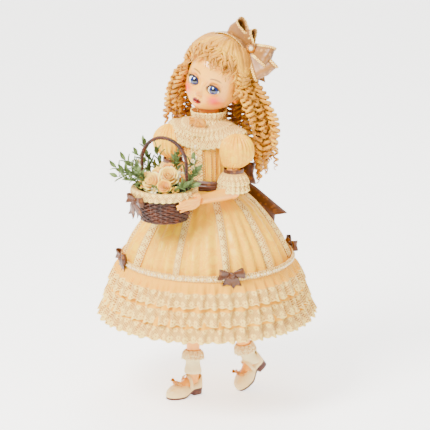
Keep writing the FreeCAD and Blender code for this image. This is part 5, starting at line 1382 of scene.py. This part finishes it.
def build_flowers():
    """Roses, blossoms and eucalyptus filling the basket."""
    blooms = Cloth()
    spots = [(-4, -20, 13, 9.6, 0), (12, -10, 20, 9.4, 0), (-10, 2, 19, 7.0, 0), (14, -24, 11, 6.4, 1), (-20, -10, 14, 6.6, 0), (2, 8, 24, 6.8, 1), (22, 2, 14, 6.2, 1)]
    for k, (x, y, z, radius, slot) in enumerate(spots):
        up = Vector((x * 0.045, y * 0.045 - 0.45, 1.0))
        rose(blooms, (BASKET[0] + x, BASKET[1] + y, RIM + z + 2), up, radius * 1.12, slot, seed=k + 3)
    small = [(-16, -22, 9), (4, -29, 8), (24, -16, 8), (-27, -2, 12), (-3, -8, 24), (8, 2, 27), (-16, 10, 22), (18, 10, 20), (-25, -16, 9), (27, -6, 12), (-12, -12, 20), (20, -6, 22)]
    for k, (x, y, z) in enumerate(small):
        blossom(blooms, (BASKET[0] + x, BASKET[1] + y, RIM + z), Vector((x * 0.04, y * 0.04 - 0.3, 0.9)), 4.6 if k % 3 else 3.8, 2 if k % 2 else 1)
    for x, y, z, tall in ((-34, 2, 30, 1), (-40, 6, 22, 1), (30, 12, 30, 1)):
        for i in range(5):
            blossom(blooms, (BASKET[0] + x + 2.5 * math.sin(i * 2.1), BASKET[1] + y + 2.2 * math.cos(i * 2.1), RIM + z + 3 * i - 4), Vector((math.sin(i * 2.1), math.cos(i * 2.1), 0.8)), 2.6, 2)
    piece = settle(blooms.make("silk_roses", "cream_petals", "amber_petals", "white_petals"), "left_arm", "roses", slot="rose_silk")

    greens = Cloth()
    places, turns, sizes = [], [], []
    more = [((sx * 0.8, sy * 0.8 + 3), (tx * math.cos(0.35) - ty * math.sin(0.35), tx * math.sin(0.35) + ty * math.cos(0.35), tz * 0.8)) for (sx, sy), (tx, ty, tz) in SPRIGS]
    for index, ((sx, sy), tip) in enumerate(SPRIGS + more):
        a = np.array([BASKET[0] + sx, BASKET[1] + sy, RIM + 3])
        b = np.array([BASKET[0] + tip[0], BASKET[1] + tip[1], RIM + tip[2]])
        t = np.linspace(0, 1, 14)[:, None]
        line = a + (b - a) * t + np.array([0, 0, 3.5]) * np.sin(t * math.pi)
        greens.tube(line, np.linspace(0.75, 0.35, 14), sides=7)
        along = (b - a) / np.linalg.norm(b - a)
        for k in range(11):
            share = 0.25 + 0.75 * k / 10
            spot = a + (b - a) * share + np.array([0, 0, 3.5]) * math.sin(share * math.pi)
            spin = k * 2.4 + index
            lean = frame_at((0, 0, 0), Vector(along).orthogonal(), Vector(along)).to_3x3()
            ray = lean @ Vector((math.cos(spin), math.sin(spin), 0.75 if k < 10 else 3.0))
            ray.normalize()
            flat = ray.cross(Vector(along))
            flat = flat.normalized() if flat.length > 0.05 else ray.orthogonal().normalized()
            basis = Matrix((flat, ray, flat.cross(ray))).transposed()
            places.append(spot)
            turns.append(basis.to_euler())
            sizes.append((0.82 + 0.34 * math.sin(k * 1.7 + index) ** 2) * (1.0 if index < 5 else 0.9))
    for k in range(46):
        a = TAU * k / 46
        spread = 25 + 6 * math.sin(k * 2.9)
        places.append(np.array([BASKET[0] + spread * math.sin(a), BASKET[1] - spread * math.cos(a), RIM + 6.5 + 2.5 * math.sin(k * 1.3)]))
        ray = Vector((math.sin(a), -math.cos(a), 0.45 + 0.3 * math.sin(k * 2.0))).normalized()
        flat = ray.cross(Vector((0, 0, 1))).normalized()
        turns.append(Matrix((flat, ray, flat.cross(ray))).transposed().to_euler())
        sizes.append(0.95 + 0.25 * math.sin(k * 1.1))
    stems = greens.make("sprig_stems", "green_leaf")
    cloud = bpy.data.meshes.new("leaf_places")
    cloud.from_pydata((np.array(places) * 0.001).tolist(), [], [])
    cloud.attributes.new("turn", "FLOAT_VECTOR", "POINT").data.foreach_set("vector", np.array(turns, np.float32).ravel())
    cloud.attributes.new("size", "FLOAT", "POINT").data.foreach_set("value", np.array(sizes, np.float32))
    foliage = bpy.data.objects.new("eucalyptus", cloud)
    bpy.context.scene.collection.objects.link(foliage)
    leaf = leaf_mesh()
    tree, size_name = scatter_tree(leaf, MATERIALS["grey_leaf"])
    modifier = foliage.modifiers.new("scatter", "NODES")
    modifier.node_group = tree
    modifier[size_name] = 1.05
    bpy.context.view_layer.update()
    mesh = bpy.data.meshes.new_from_object(foliage.evaluated_get(bpy.context.evaluated_depsgraph_get()))
    foliage.modifiers.clear()
    foliage.data = mesh
    settle(foliage, "left_arm", "foliage", slot="leaf_silk")
    settle(stems, "left_arm", slot="leaf_silk")


# ---------------------------------------------------------------- legs


def build_leg(side, word, sole, ankle_up):
    """Lace sock, leather shoe with strap, layered sole with heel, and bow for one leg."""
    low = np.array(sole @ Vector((0, 1, ankle_up)))
    hip = np.array([side * 17.0, 0, 214])
    along = (hip - low) / np.linalg.norm(hip - low)
    angle = np.linspace(-math.pi, math.pi, 145)
    m = frame_at(low, Vector(along).cross(Vector((0, 1, 0))), Vector(along))
    ox, oy = np.array(m)[:3, 0], np.array(m)[:3, 1]
    sock = Cloth()
    h = np.linspace(-16.0, 12.5, 24)[:, None]
    rib = 0.22 * np.cos(angle * 36)[None]
    radius = 8.5 + 0.5 * np.sin((h + 16) * 0.35) + rib + 1.1 * smooth(-h, 6, 16)
    drop = np.array(sole.to_3x3() @ Vector((0, 0, -1)))
    center = low + along * np.maximum(h, 0)[..., None] + (-drop) * np.minimum(h, 0)[..., None]
    points = center + radius[..., None] * (ox * np.sin(angle)[None, :, None] - oy * np.cos(angle)[None, :, None])
    sock.sheet(points, 0.7, np.stack(np.broadcast_arrays(angle[None] * 0.009, h * 0.001), -1).reshape(-1, 2), wrap=True)
    for top, bottom, wide, seed in ((12.6, 2.2, 13.2, 1), (12.8, 7.0, 12.6, 5)):
        turn = np.linspace(-math.pi, math.pi, 289)
        t = np.linspace(0, 1, 10)[:, None]
        wave = np.sin(turn * 18 + np.sin(turn * 3 + seed))
        radius = 9.3 + (wide - 9.3) * t ** 0.7 + 0.9 * wave[None] * smooth(t, 0, 0.5)
        height = top + (bottom - top) * t - 0.8 * np.abs(np.sin(turn * 11))[None] * smooth(t, 0.6, 1)
        points = low + along * height[..., None] + radius[..., None] * (ox * np.sin(turn)[None, :, None] - oy * np.cos(turn)[None, :, None])
        sock.sheet(points, 0.5, np.stack(np.broadcast_arrays(turn[None] * 0.014, 0.011 * (1 - t) + 0 * turn[None]), -1).reshape(-1, 2), wrap=True)
    settle(sock.make(word + "_lace_sock", "sock_lace"), word + "_leg", word + "_sock", slot="sock_lace")

    def outline(y):
        """Half the width of the shoe's print at a place along it, toe at the negative end."""
        y = np.asarray(y) * 1.03
        return np.interp(y, [-37.2, -36.6, -35, -32, -27, -20, -10, -2, 5, 9.5, 12, 12.7], [0.02, 3.6, 6.2, 8.8, 10.8, 11.3, 9.8, 8.9, 9.2, 8.0, 4.4, 0.02])

    shoe = Cloth()
    y = np.concatenate([-36.1 + 5.1 * np.linspace(0, 1, 14) ** 1.7, np.linspace(-31, 9, 50)[1:], 12.3 - 3.3 * np.linspace(1, 0, 12)[1:] ** 1.6])
    lift = np.interp(y, [-37.2, -20, -8, 12.7], [2.6, 2.6, 7.6, 9.0])
    lift = 2.6 + 6.4 * smooth(y, -18, -2)
    height = np.interp(y, [-37.2, -36, -33, -27, -20, -16, -8, 2, 9, 12.7], [3.5, 7.0, 10.6, 14.0, 16.2, 15.4, 13.6, 16.0, 22.0, 24.8]) - lift
    s = np.linspace(0, math.pi, 61)
    half = outline(y)
    open_ = smooth(y, -20.5, -17.5) * 1.0
    rows = []
    for yy, hh, ww, ll, oo in zip(y, height, half, lift, open_):
        cover = 1.0 - 0.33 * oo
        left = np.linspace(0, math.pi / 2 * cover, 31)
        x = ww * np.cos(left) ** 0.62
        z = ll + hh * np.sin(left) ** 0.8
        rows.append((np.stack([x, np.full(31, yy), z], 1), np.stack([-x, np.full(31, yy), z], 1)))
    right = np.array([r[0] for r in rows])
    left = np.array([r[1] for r in rows])
    for wing, flip in ((right, False), (left, True)):
        shoe.sheet(moved(wing.reshape(-1, 3), sole).reshape(wing.shape), 0.9, (wing[..., 1:3] * 0.001).reshape(-1, 2), flip=flip)
    rim = [r for r, yy in zip(rows, y) if yy > -19.5]
    edge = np.array([r[0][-1] for r in rim[::-1]] + [r[1][-1] for r in rim])
    shoe.tube(moved(edge, sole), 0.65, sides=8)
    arc = np.linspace(-0.12, math.pi + 0.12, 40)
    strap = np.stack([10.2 * np.cos(arc), -7.5 + 0 * arc, 12.5 + 13.2 * np.sin(arc)], 1)
    local = np.array(sole.to_3x3() @ Vector((0, 1, 0.25)))
    ribbon(shoe, moved(strap, sole), 4.0, local[None].repeat(40, 0), 0.9)
    turn = np.linspace(-math.pi, math.pi, 61)
    settle(shoe.make(word + "_leather_shoe", "shoe_leather"), word + "_leg", word + "_shoe", slot="shoe_leather")

    base = Cloth()
    yy = np.concatenate([-36.1 + 5.1 * np.linspace(0, 1, 14) ** 1.7, np.linspace(-31, 9, 40)[1:], 12.3 - 3.3 * np.linspace(1, 0, 12)[1:] ** 1.6])
    for bottom, top, first in ((0.0, 2.6, -40), (0.0, 9.0, -2.6)):
        keep = yy[yy > first]
        ww = outline(keep) * (1.0 if first < -10 else 0.93)
        if first > -10:
            keep = np.concatenate([[first], keep])
            ww = np.concatenate([[0.02], ww])
        ground = 0 if first > -10 else 6.4 * smooth(keep, -18, -2)
        t = np.array([0, 0.02, 0.5, 0.98, 1.0])[:, None]
        level = bottom + (top - bottom) * t + 0 * keep[None] + (ground * 1.0 if np.ndim(ground) else 0)
        taper = 1 if first < -10 else 0.86 + 0.14 * t
        grow = np.array([0.0, 1, 1, 1, 0.0])[:, None]
        right = np.stack(np.broadcast_arrays(ww[None] * grow * taper, keep[None], level), -1)
        mirrored = right * [-1, 1, 1]
        base.grid(moved(right.reshape(-1, 3), sole).reshape(right.shape), (right[..., 1:3] * 0.001).reshape(-1, 2), flip=True)
        base.grid(moved(mirrored.reshape(-1, 3), sole).reshape(right.shape), (right[..., 1:3] * 0.001).reshape(-1, 2))
    settle(base.make(word + "_layered_sole", "sole_leather"), word + "_leg", word + "_sole", slot="sole_leather")

    bow = Cloth()
    seat = sole @ Vector((0, -22.5, 18.6))
    m = frame_at(seat, sole.to_3x3() @ Vector((1, 0, 0)), sole.to_3x3() @ Vector((0, -0.62, 0.8)))
    tie_bow(bow, m, 8.6, 7.0, tails=(((0.6, 0, -0.8), 8, 0), ((-0.6, 0, -0.8), 8, 0)), rise=0.12)
    settle(bow.make(word + "_shoe_ribbon", "gold_satin"), word + "_leg", word + "_shoe_bow", slot="gold_satin")


# ---------------------------------------------------------------- head dress


def build_headdress():
    """Ribbon headband, big hair bow edged with lace, and a pearl brooch."""
    band = Cloth()
    a = np.linspace(-1.78, 1.78, 120)
    path = np.stack([41.2 * np.sin(a), 2.2 - 2.5 * np.cos(a) + 0 * a, 2.6 + 49.6 * np.cos(a)], 1)
    m = np.array(HEAD)[:3, :3]
    ribbon(band, moved(path, HEAD), 12.5, (m @ np.array([0, 1.0, 0]))[None].repeat(120, 0), 0.9, fold=0.08)
    for shift in (-6.6, 6.6):
        wavy = path + np.stack([0 * a, shift + 0.5 * np.sin(a * 90), 0 * a], 1)
        ribbon(band, moved(wavy, HEAD), 2.6, (m @ np.array([0, 1.0, 0]))[None].repeat(120, 0), 0.6, slot=1)
    settle(band.make("satin_headband", "rose_gold_satin", "fine_lace"), "head", "headband", slot="gold_satin")

    bow = Cloth()
    heart = Vector((26, 3, 47.5))
    for x, z, reach, wide, lift, tilt in ((-0.93, 0.42, 35, 28, 0.0, -0.3), (-0.62, 0.80, 21, 20, 0.0, -0.1), (0.94, 0.02, 28, 22, 0.0, -0.2), (0.86, -0.52, 37, 27, 0.0, -0.25)):
        m = frame_at(heart, (x, -0.05, z), Vector((-z, 0.35, x)) if x < 0.5 else Vector((z * -1, 0.35, x)))
        path = loop_path(reach, 0, 0, wide * 0.30)
        t = np.linspace(0, 1, len(path))
        width = wide * (0.36 + 0.64 * np.sin(np.pi * t) ** 0.7)
        rows = np.array(HEAD @ m)[:3, :3]
        ribbon(bow, moved(moved(path, m), HEAD), width, (rows @ np.array([0, 0, 1.0]))[None].repeat(len(t), 0), 0.8, fold=0.16)
        for way in (1, -1):
            lace = path + np.stack([0 * t, 0.6 * np.sin(t * 70), way * (width / 2 + 1.0)], 1)
            ribbon(bow, moved(moved(lace, m), HEAD), 3.0, (rows @ np.array([0, 0, 1.0]))[None].repeat(len(t), 0), 0.6, slot=1)
    for x, y, z, length in ((0.62, 0.08, -0.80, 46), (0.26, -0.18, -0.95, 52)):
        t = np.linspace(0, 1, 30)
        direction = np.array(Vector((x, y, z)).normalized())
        path = np.array(heart) + direction * (t * length)[:, None] + np.stack([3.5 * np.sin(t * 5), -1.5 * np.sin(t * 6), 0 * t], 1)
        side = np.cross(direction, (0, 1, 0))
        ribbon(bow, moved(path, HEAD), 9 + 8 * smooth(t, 0, 0.6), (m @ side if False else np.array(HEAD)[:3, :3] @ side)[None].repeat(30, 0), 0.8, fold=0.15, notch=6)
    t = np.linspace(0, TAU, 41)
    ring = np.stack([5.0 * np.cos(t), 6.0 * np.sin(t), 0 * t], 1) + np.array(heart)
    ribbon(bow, moved(ring, HEAD), 10, (np.array(HEAD)[:3, :3] @ np.array([0.2, 0, 1.0]))[None].repeat(41, 0), 1.0, fold=0.3)
    settle(bow.make("hair_ribbon", "rose_gold_satin", "fine_lace"), "head", "hair_bow", slot="taupe_satin")

    seat = Cloth()
    pearl = Cloth()
    low, high = ends("brooch_setting")
    centre = middle("brooch_pearl")
    out = np.array(HEAD.to_3x3() @ Vector((0.42, -0.88, 0.2)))
    out /= np.linalg.norm(out)
    m = frame_at(centre - out * 1.4, Vector(out).orthogonal(), Vector(out))
    for k in range(14):
        a = TAU * k / 14
        polar, around = np.meshgrid(np.linspace(0, math.pi, 8), np.linspace(0, TAU, 10), indexing="ij")
        ball = np.stack([np.sin(polar) * np.cos(around), np.sin(polar) * np.sin(around), np.cos(polar)], -1) * 0.95
        seat.grid(moved((ball + [4.2 * math.cos(a), 4.2 * math.sin(a), 0.2]).reshape(-1, 3), m).reshape(ball.shape), wrap=True)
    t = np.linspace(0, TAU, 49)
    for radius, h, thick in ((4.2, -0.3, 0.8), (2.9, 0.3, 0.7)):
        seat.tube(moved(np.stack([radius * np.cos(t), radius * np.sin(t), h + 0 * t], 1), m), thick, sides=8, caps=False)
    disc = np.stack([np.stack([r * np.cos(t), r * np.sin(t), -0.6 + 0 * t], 1) for r in (0.01, 4.4)])
    seat.sheet(moved(disc.reshape(-1, 3), m).reshape(disc.shape), 0.6, wrap=True)
    settle(seat.make("brooch_mount", "gold_metal"), "head", "brooch_setting", slot="gold_metal")
    polar, around = np.meshgrid(np.linspace(0, math.pi, 24), np.linspace(0, TAU, 36), indexing="ij")
    ball = np.stack([np.sin(polar) * np.cos(around), np.sin(polar) * np.sin(around), np.cos(polar)], -1) * [2.7, 2.7, 2.3]
    pearl.grid(moved((ball + [0, 0, 1.2]).reshape(-1, 3), m).reshape(ball.shape), wrap=True)
    settle(pearl.make("brooch_bead", "pearl"), "head", "brooch_pearl", slot="pearl")


# ---------------------------------------------------------------- what keeps its CAD shape, and the stage

HIDDEN = {"cloth_torso": "plain_cotton", "shoulder_plate": "plain_porcelain", "limb_wires": "steel_wire", "neck_bolt": "steel_wire",
          "neck_spring": "steel_wire", "crown_pate": "cork", "petticoat": "plain_cotton", "flower_foam": "moss_foam",
          "left_upper_arm": "plain_porcelain", "right_upper_arm": "plain_porcelain", "left_leg": "plain_porcelain", "right_leg": "plain_porcelain",
          # the CAD curl masses take the darkened hair finish, which is painted shade
          "curls_left": "shaded_under_hair", "curls_right": "shaded_under_hair", "curls_back": "shaded_under_hair"}


def finish_hidden():
    for name, material in HIDDEN.items():
        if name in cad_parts:
            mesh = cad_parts[name].data
            mesh.materials.clear()
            mesh.materials.append(MATERIALS[material])


def build_stage():
    """Pale floor, soft studio lamps and the camera."""
    floor = bpy.data.objects.new("studio_floor", bpy.data.meshes.new("studio_floor"))
    bpy.context.scene.collection.objects.link(floor)
    y = np.concatenate([np.linspace(-2.2, 1.2, 8), 1.2 + 0.9 * np.sin(np.linspace(0.1, math.pi / 2, 12)), [2.1, 2.1]])
    z = np.concatenate([np.zeros(8), 0.9 - 0.9 * np.cos(np.linspace(0.1, math.pi / 2, 12)), [1.8, 2.6]])
    turn = math.radians(30)
    verts, faces = [], []
    for yy, zz in zip(y, z):
        for x in (-4.0, 4.0):
            verts.append((x * math.cos(turn) - yy * math.sin(turn), x * math.sin(turn) + yy * math.cos(turn), zz))
    for k in range(len(y) - 1):
        faces.append((2 * k, 2 * k + 1, 2 * k + 3, 2 * k + 2))
    floor.data.from_pydata(verts, [], faces)
    floor.data.polygons.foreach_set("use_smooth", [True] * len(faces))
    floor.data.materials.append(MATERIALS["floor"])
    target = Vector((0, -0.02, 0.23))
    for name, azimuth, elevation, far, size, power, color in (("key_lamp", -12, 46, 1.5, 0.8, 62, (1, 0.985, 0.95)), ("fill_lamp", 84, 26, 1.6, 1.2, 9, (1, 0.98, 0.96)),
                                                           ("back_lamp", 200, 48, 1.5, 0.8, 14, (1, 0.94, 0.86)), ("sky_lamp", 30, 84, 1.7, 1.6, 16, (1, 1, 1))):
        light = bpy.data.lights.new(name, "AREA")
        light.shape, light.size, light.energy, light.color = "DISK", size, power, color
        lamp = bpy.data.objects.new(name, light)
        bpy.context.scene.collection.objects.link(lamp)
        a, e = math.radians(azimuth), math.radians(elevation)
        lamp.location = target + Vector((math.sin(a) * math.cos(e), -math.cos(a) * math.cos(e), math.sin(e))) * far
        lamp.rotation_euler = (target - lamp.location).to_track_quat("-Z", "Y").to_euler()
    world = bpy.data.worlds.new("studio")
    world.use_nodes = True
    world.node_tree.nodes["Background"].inputs["Color"].default_value = (1.0, 0.985, 0.965, 1)
    world.node_tree.nodes["Background"].inputs["Strength"].default_value = 0.62
    bpy.context.scene.world = world
    camera_data = bpy.data.cameras.new("camera")
    camera_data.lens, camera_data.sensor_width = 300, 36
    camera = bpy.data.objects.new("camera", camera_data)
    bpy.context.scene.collection.objects.link(camera)
    a, e = math.radians(30), math.radians(16)
    back = Vector((math.sin(a) * math.cos(e), -math.cos(a) * math.cos(e), math.sin(e)))
    aim = Vector((0.0095 * math.cos(a), 0.0095 * math.sin(a), 0.222))
    camera.location = aim + back * 4.26
    camera.rotation_euler = (-back).to_track_quat("-Z", "Y").to_euler()
    bpy.context.scene.camera = camera


# ---------------------------------------------------------------- add-on

MATERIALS = {}


class DollSizes(bpy.types.PropertyGroup):
    leaf_size: bpy.props.FloatProperty(name="Leaf size", description="Scale of the eucalyptus leaves", default=1.05, min=0.5, max=1.5)
    key_power: bpy.props.FloatProperty(name="Key lamp", description="Power of the main studio lamp in watts", default=30.0, min=0.0, unit="POWER")


def need_materials():
    if not MATERIALS:
        MATERIALS.update(make_materials(bpy.context.scene.doll_sizes))


class DOLL_OT_base(bpy.types.Operator):
    """Gives the pieces that keep their CAD shape their finishes"""
    bl_idname = "doll.base"
    bl_label = "Finish inner pieces"

    def execute(self, context):
        need_materials()
        finish_hidden()
        return {"FINISHED"}


class DOLL_OT_head(bpy.types.Operator):
    """Builds the porcelain head, its glass eyes and its lashes"""
    bl_idname = "doll.head"
    bl_label = "Build head"

    def execute(self, context):
        need_materials()
        build_head()
        return {"FINISHED"}


class DOLL_OT_hair(bpy.types.Operator):
    """Builds the wig with its ringlets"""
    bl_idname = "doll.hair"
    bl_label = "Build hair"

    def execute(self, context):
        need_materials()
        build_wig()
        build_ringlets()
        return {"FINISHED"}


class DOLL_OT_headdress(bpy.types.Operator):
    """Builds the headband, hair bow and brooch"""
    bl_idname = "doll.headdress"
    bl_label = "Build head dress"

    def execute(self, context):
        need_materials()
        build_headdress()
        return {"FINISHED"}


class DOLL_OT_bodice(bpy.types.Operator):
    """Builds the bodice, collar, bertha, sash and their trimmings"""
    bl_idname = "doll.bodice"
    bl_label = "Build bodice"

    def execute(self, context):
        need_materials()
        build_bodice()
        return {"FINISHED"}


class DOLL_OT_skirt(bpy.types.Operator):
    """Builds the skirt, lace tiers, beading and skirt bows"""
    bl_idname = "doll.skirt"
    bl_label = "Build skirt"

    def execute(self, context):
        need_materials()
        build_skirt()
        build_tiers()
        return {"FINISHED"}


class DOLL_OT_arms(bpy.types.Operator):
    """Builds sleeves, cuffs and hands"""
    bl_idname = "doll.arms"
    bl_label = "Build arms"

    def execute(self, context):
        need_materials()
        build_arm(1, "left", (48, -22, 262), (30.4, -77.2, 261), 12, (37, 0, 322))
        build_arm(-1, "right", (-48, -10, 262), (-38.1, -60.1, 261), 40, (-37, 0, 322))
        return {"FINISHED"}


class DOLL_OT_basket(bpy.types.Operator):
    """Builds the wicker basket and fills it with flowers"""
    bl_idname = "doll.basket"
    bl_label = "Build basket"

    def execute(self, context):
        need_materials()
        build_basket()
        build_flowers()
        return {"FINISHED"}


class DOLL_OT_legs(bpy.types.Operator):
    """Builds socks, shoes and shoe bows"""
    bl_idname = "doll.legs"
    bl_label = "Build legs"

    def execute(self, context):
        need_materials()
        build_leg(-1, "right", Matrix.Translation((-12, -15, 0)) @ Matrix.Rotation(math.radians(-25), 4, "Z"), 43)
        build_leg(1, "left", Matrix.Translation((30, 26, 0)) @ Matrix.Rotation(math.radians(-28), 4, "Z") @ Matrix.Rotation(math.radians(38), 4, "X") @ Matrix.Translation((0, 34.6, 0)), 31)
        return {"FINISHED"}


class DOLL_OT_stage(bpy.types.Operator):
    """Builds the floor, lamps and camera"""
    bl_idname = "doll.stage"
    bl_label = "Build stage"

    def execute(self, context):
        need_materials()
        build_stage()
        return {"FINISHED"}


STEPS = [DOLL_OT_base, DOLL_OT_head, DOLL_OT_hair, DOLL_OT_headdress, DOLL_OT_bodice, DOLL_OT_skirt, DOLL_OT_arms, DOLL_OT_basket, DOLL_OT_legs, DOLL_OT_stage]


class DOLL_PT_panel(bpy.types.Panel):
    """Sizes and build steps of the doll"""
    bl_idname = "DOLL_PT_panel"
    bl_label = "Porcelain doll"
    bl_space_type = "VIEW_3D"
    bl_region_type = "UI"
    bl_category = "Doll"

    def draw(self, context):
        sizes = context.scene.doll_sizes
        for name in DollSizes.__annotations__:
            self.layout.prop(sizes, name)
        for step in STEPS:
            self.layout.operator(step.bl_idname)


CLASSES = [DollSizes, *STEPS, DOLL_PT_panel]


def register():
    for piece in CLASSES:
        bpy.utils.register_class(piece)
    bpy.types.Scene.doll_sizes = bpy.props.PointerProperty(type=DollSizes)


def unregister():
    del bpy.types.Scene.doll_sizes
    for piece in reversed(CLASSES):
        bpy.utils.unregister_class(piece)


def main():
    register()
    for name in ("base", "head", "hair", "headdress", "bodice", "skirt", "arms", "basket", "legs", "stage"):
        getattr(bpy.ops.doll, name)()


if __name__ == "__main__":
    main()
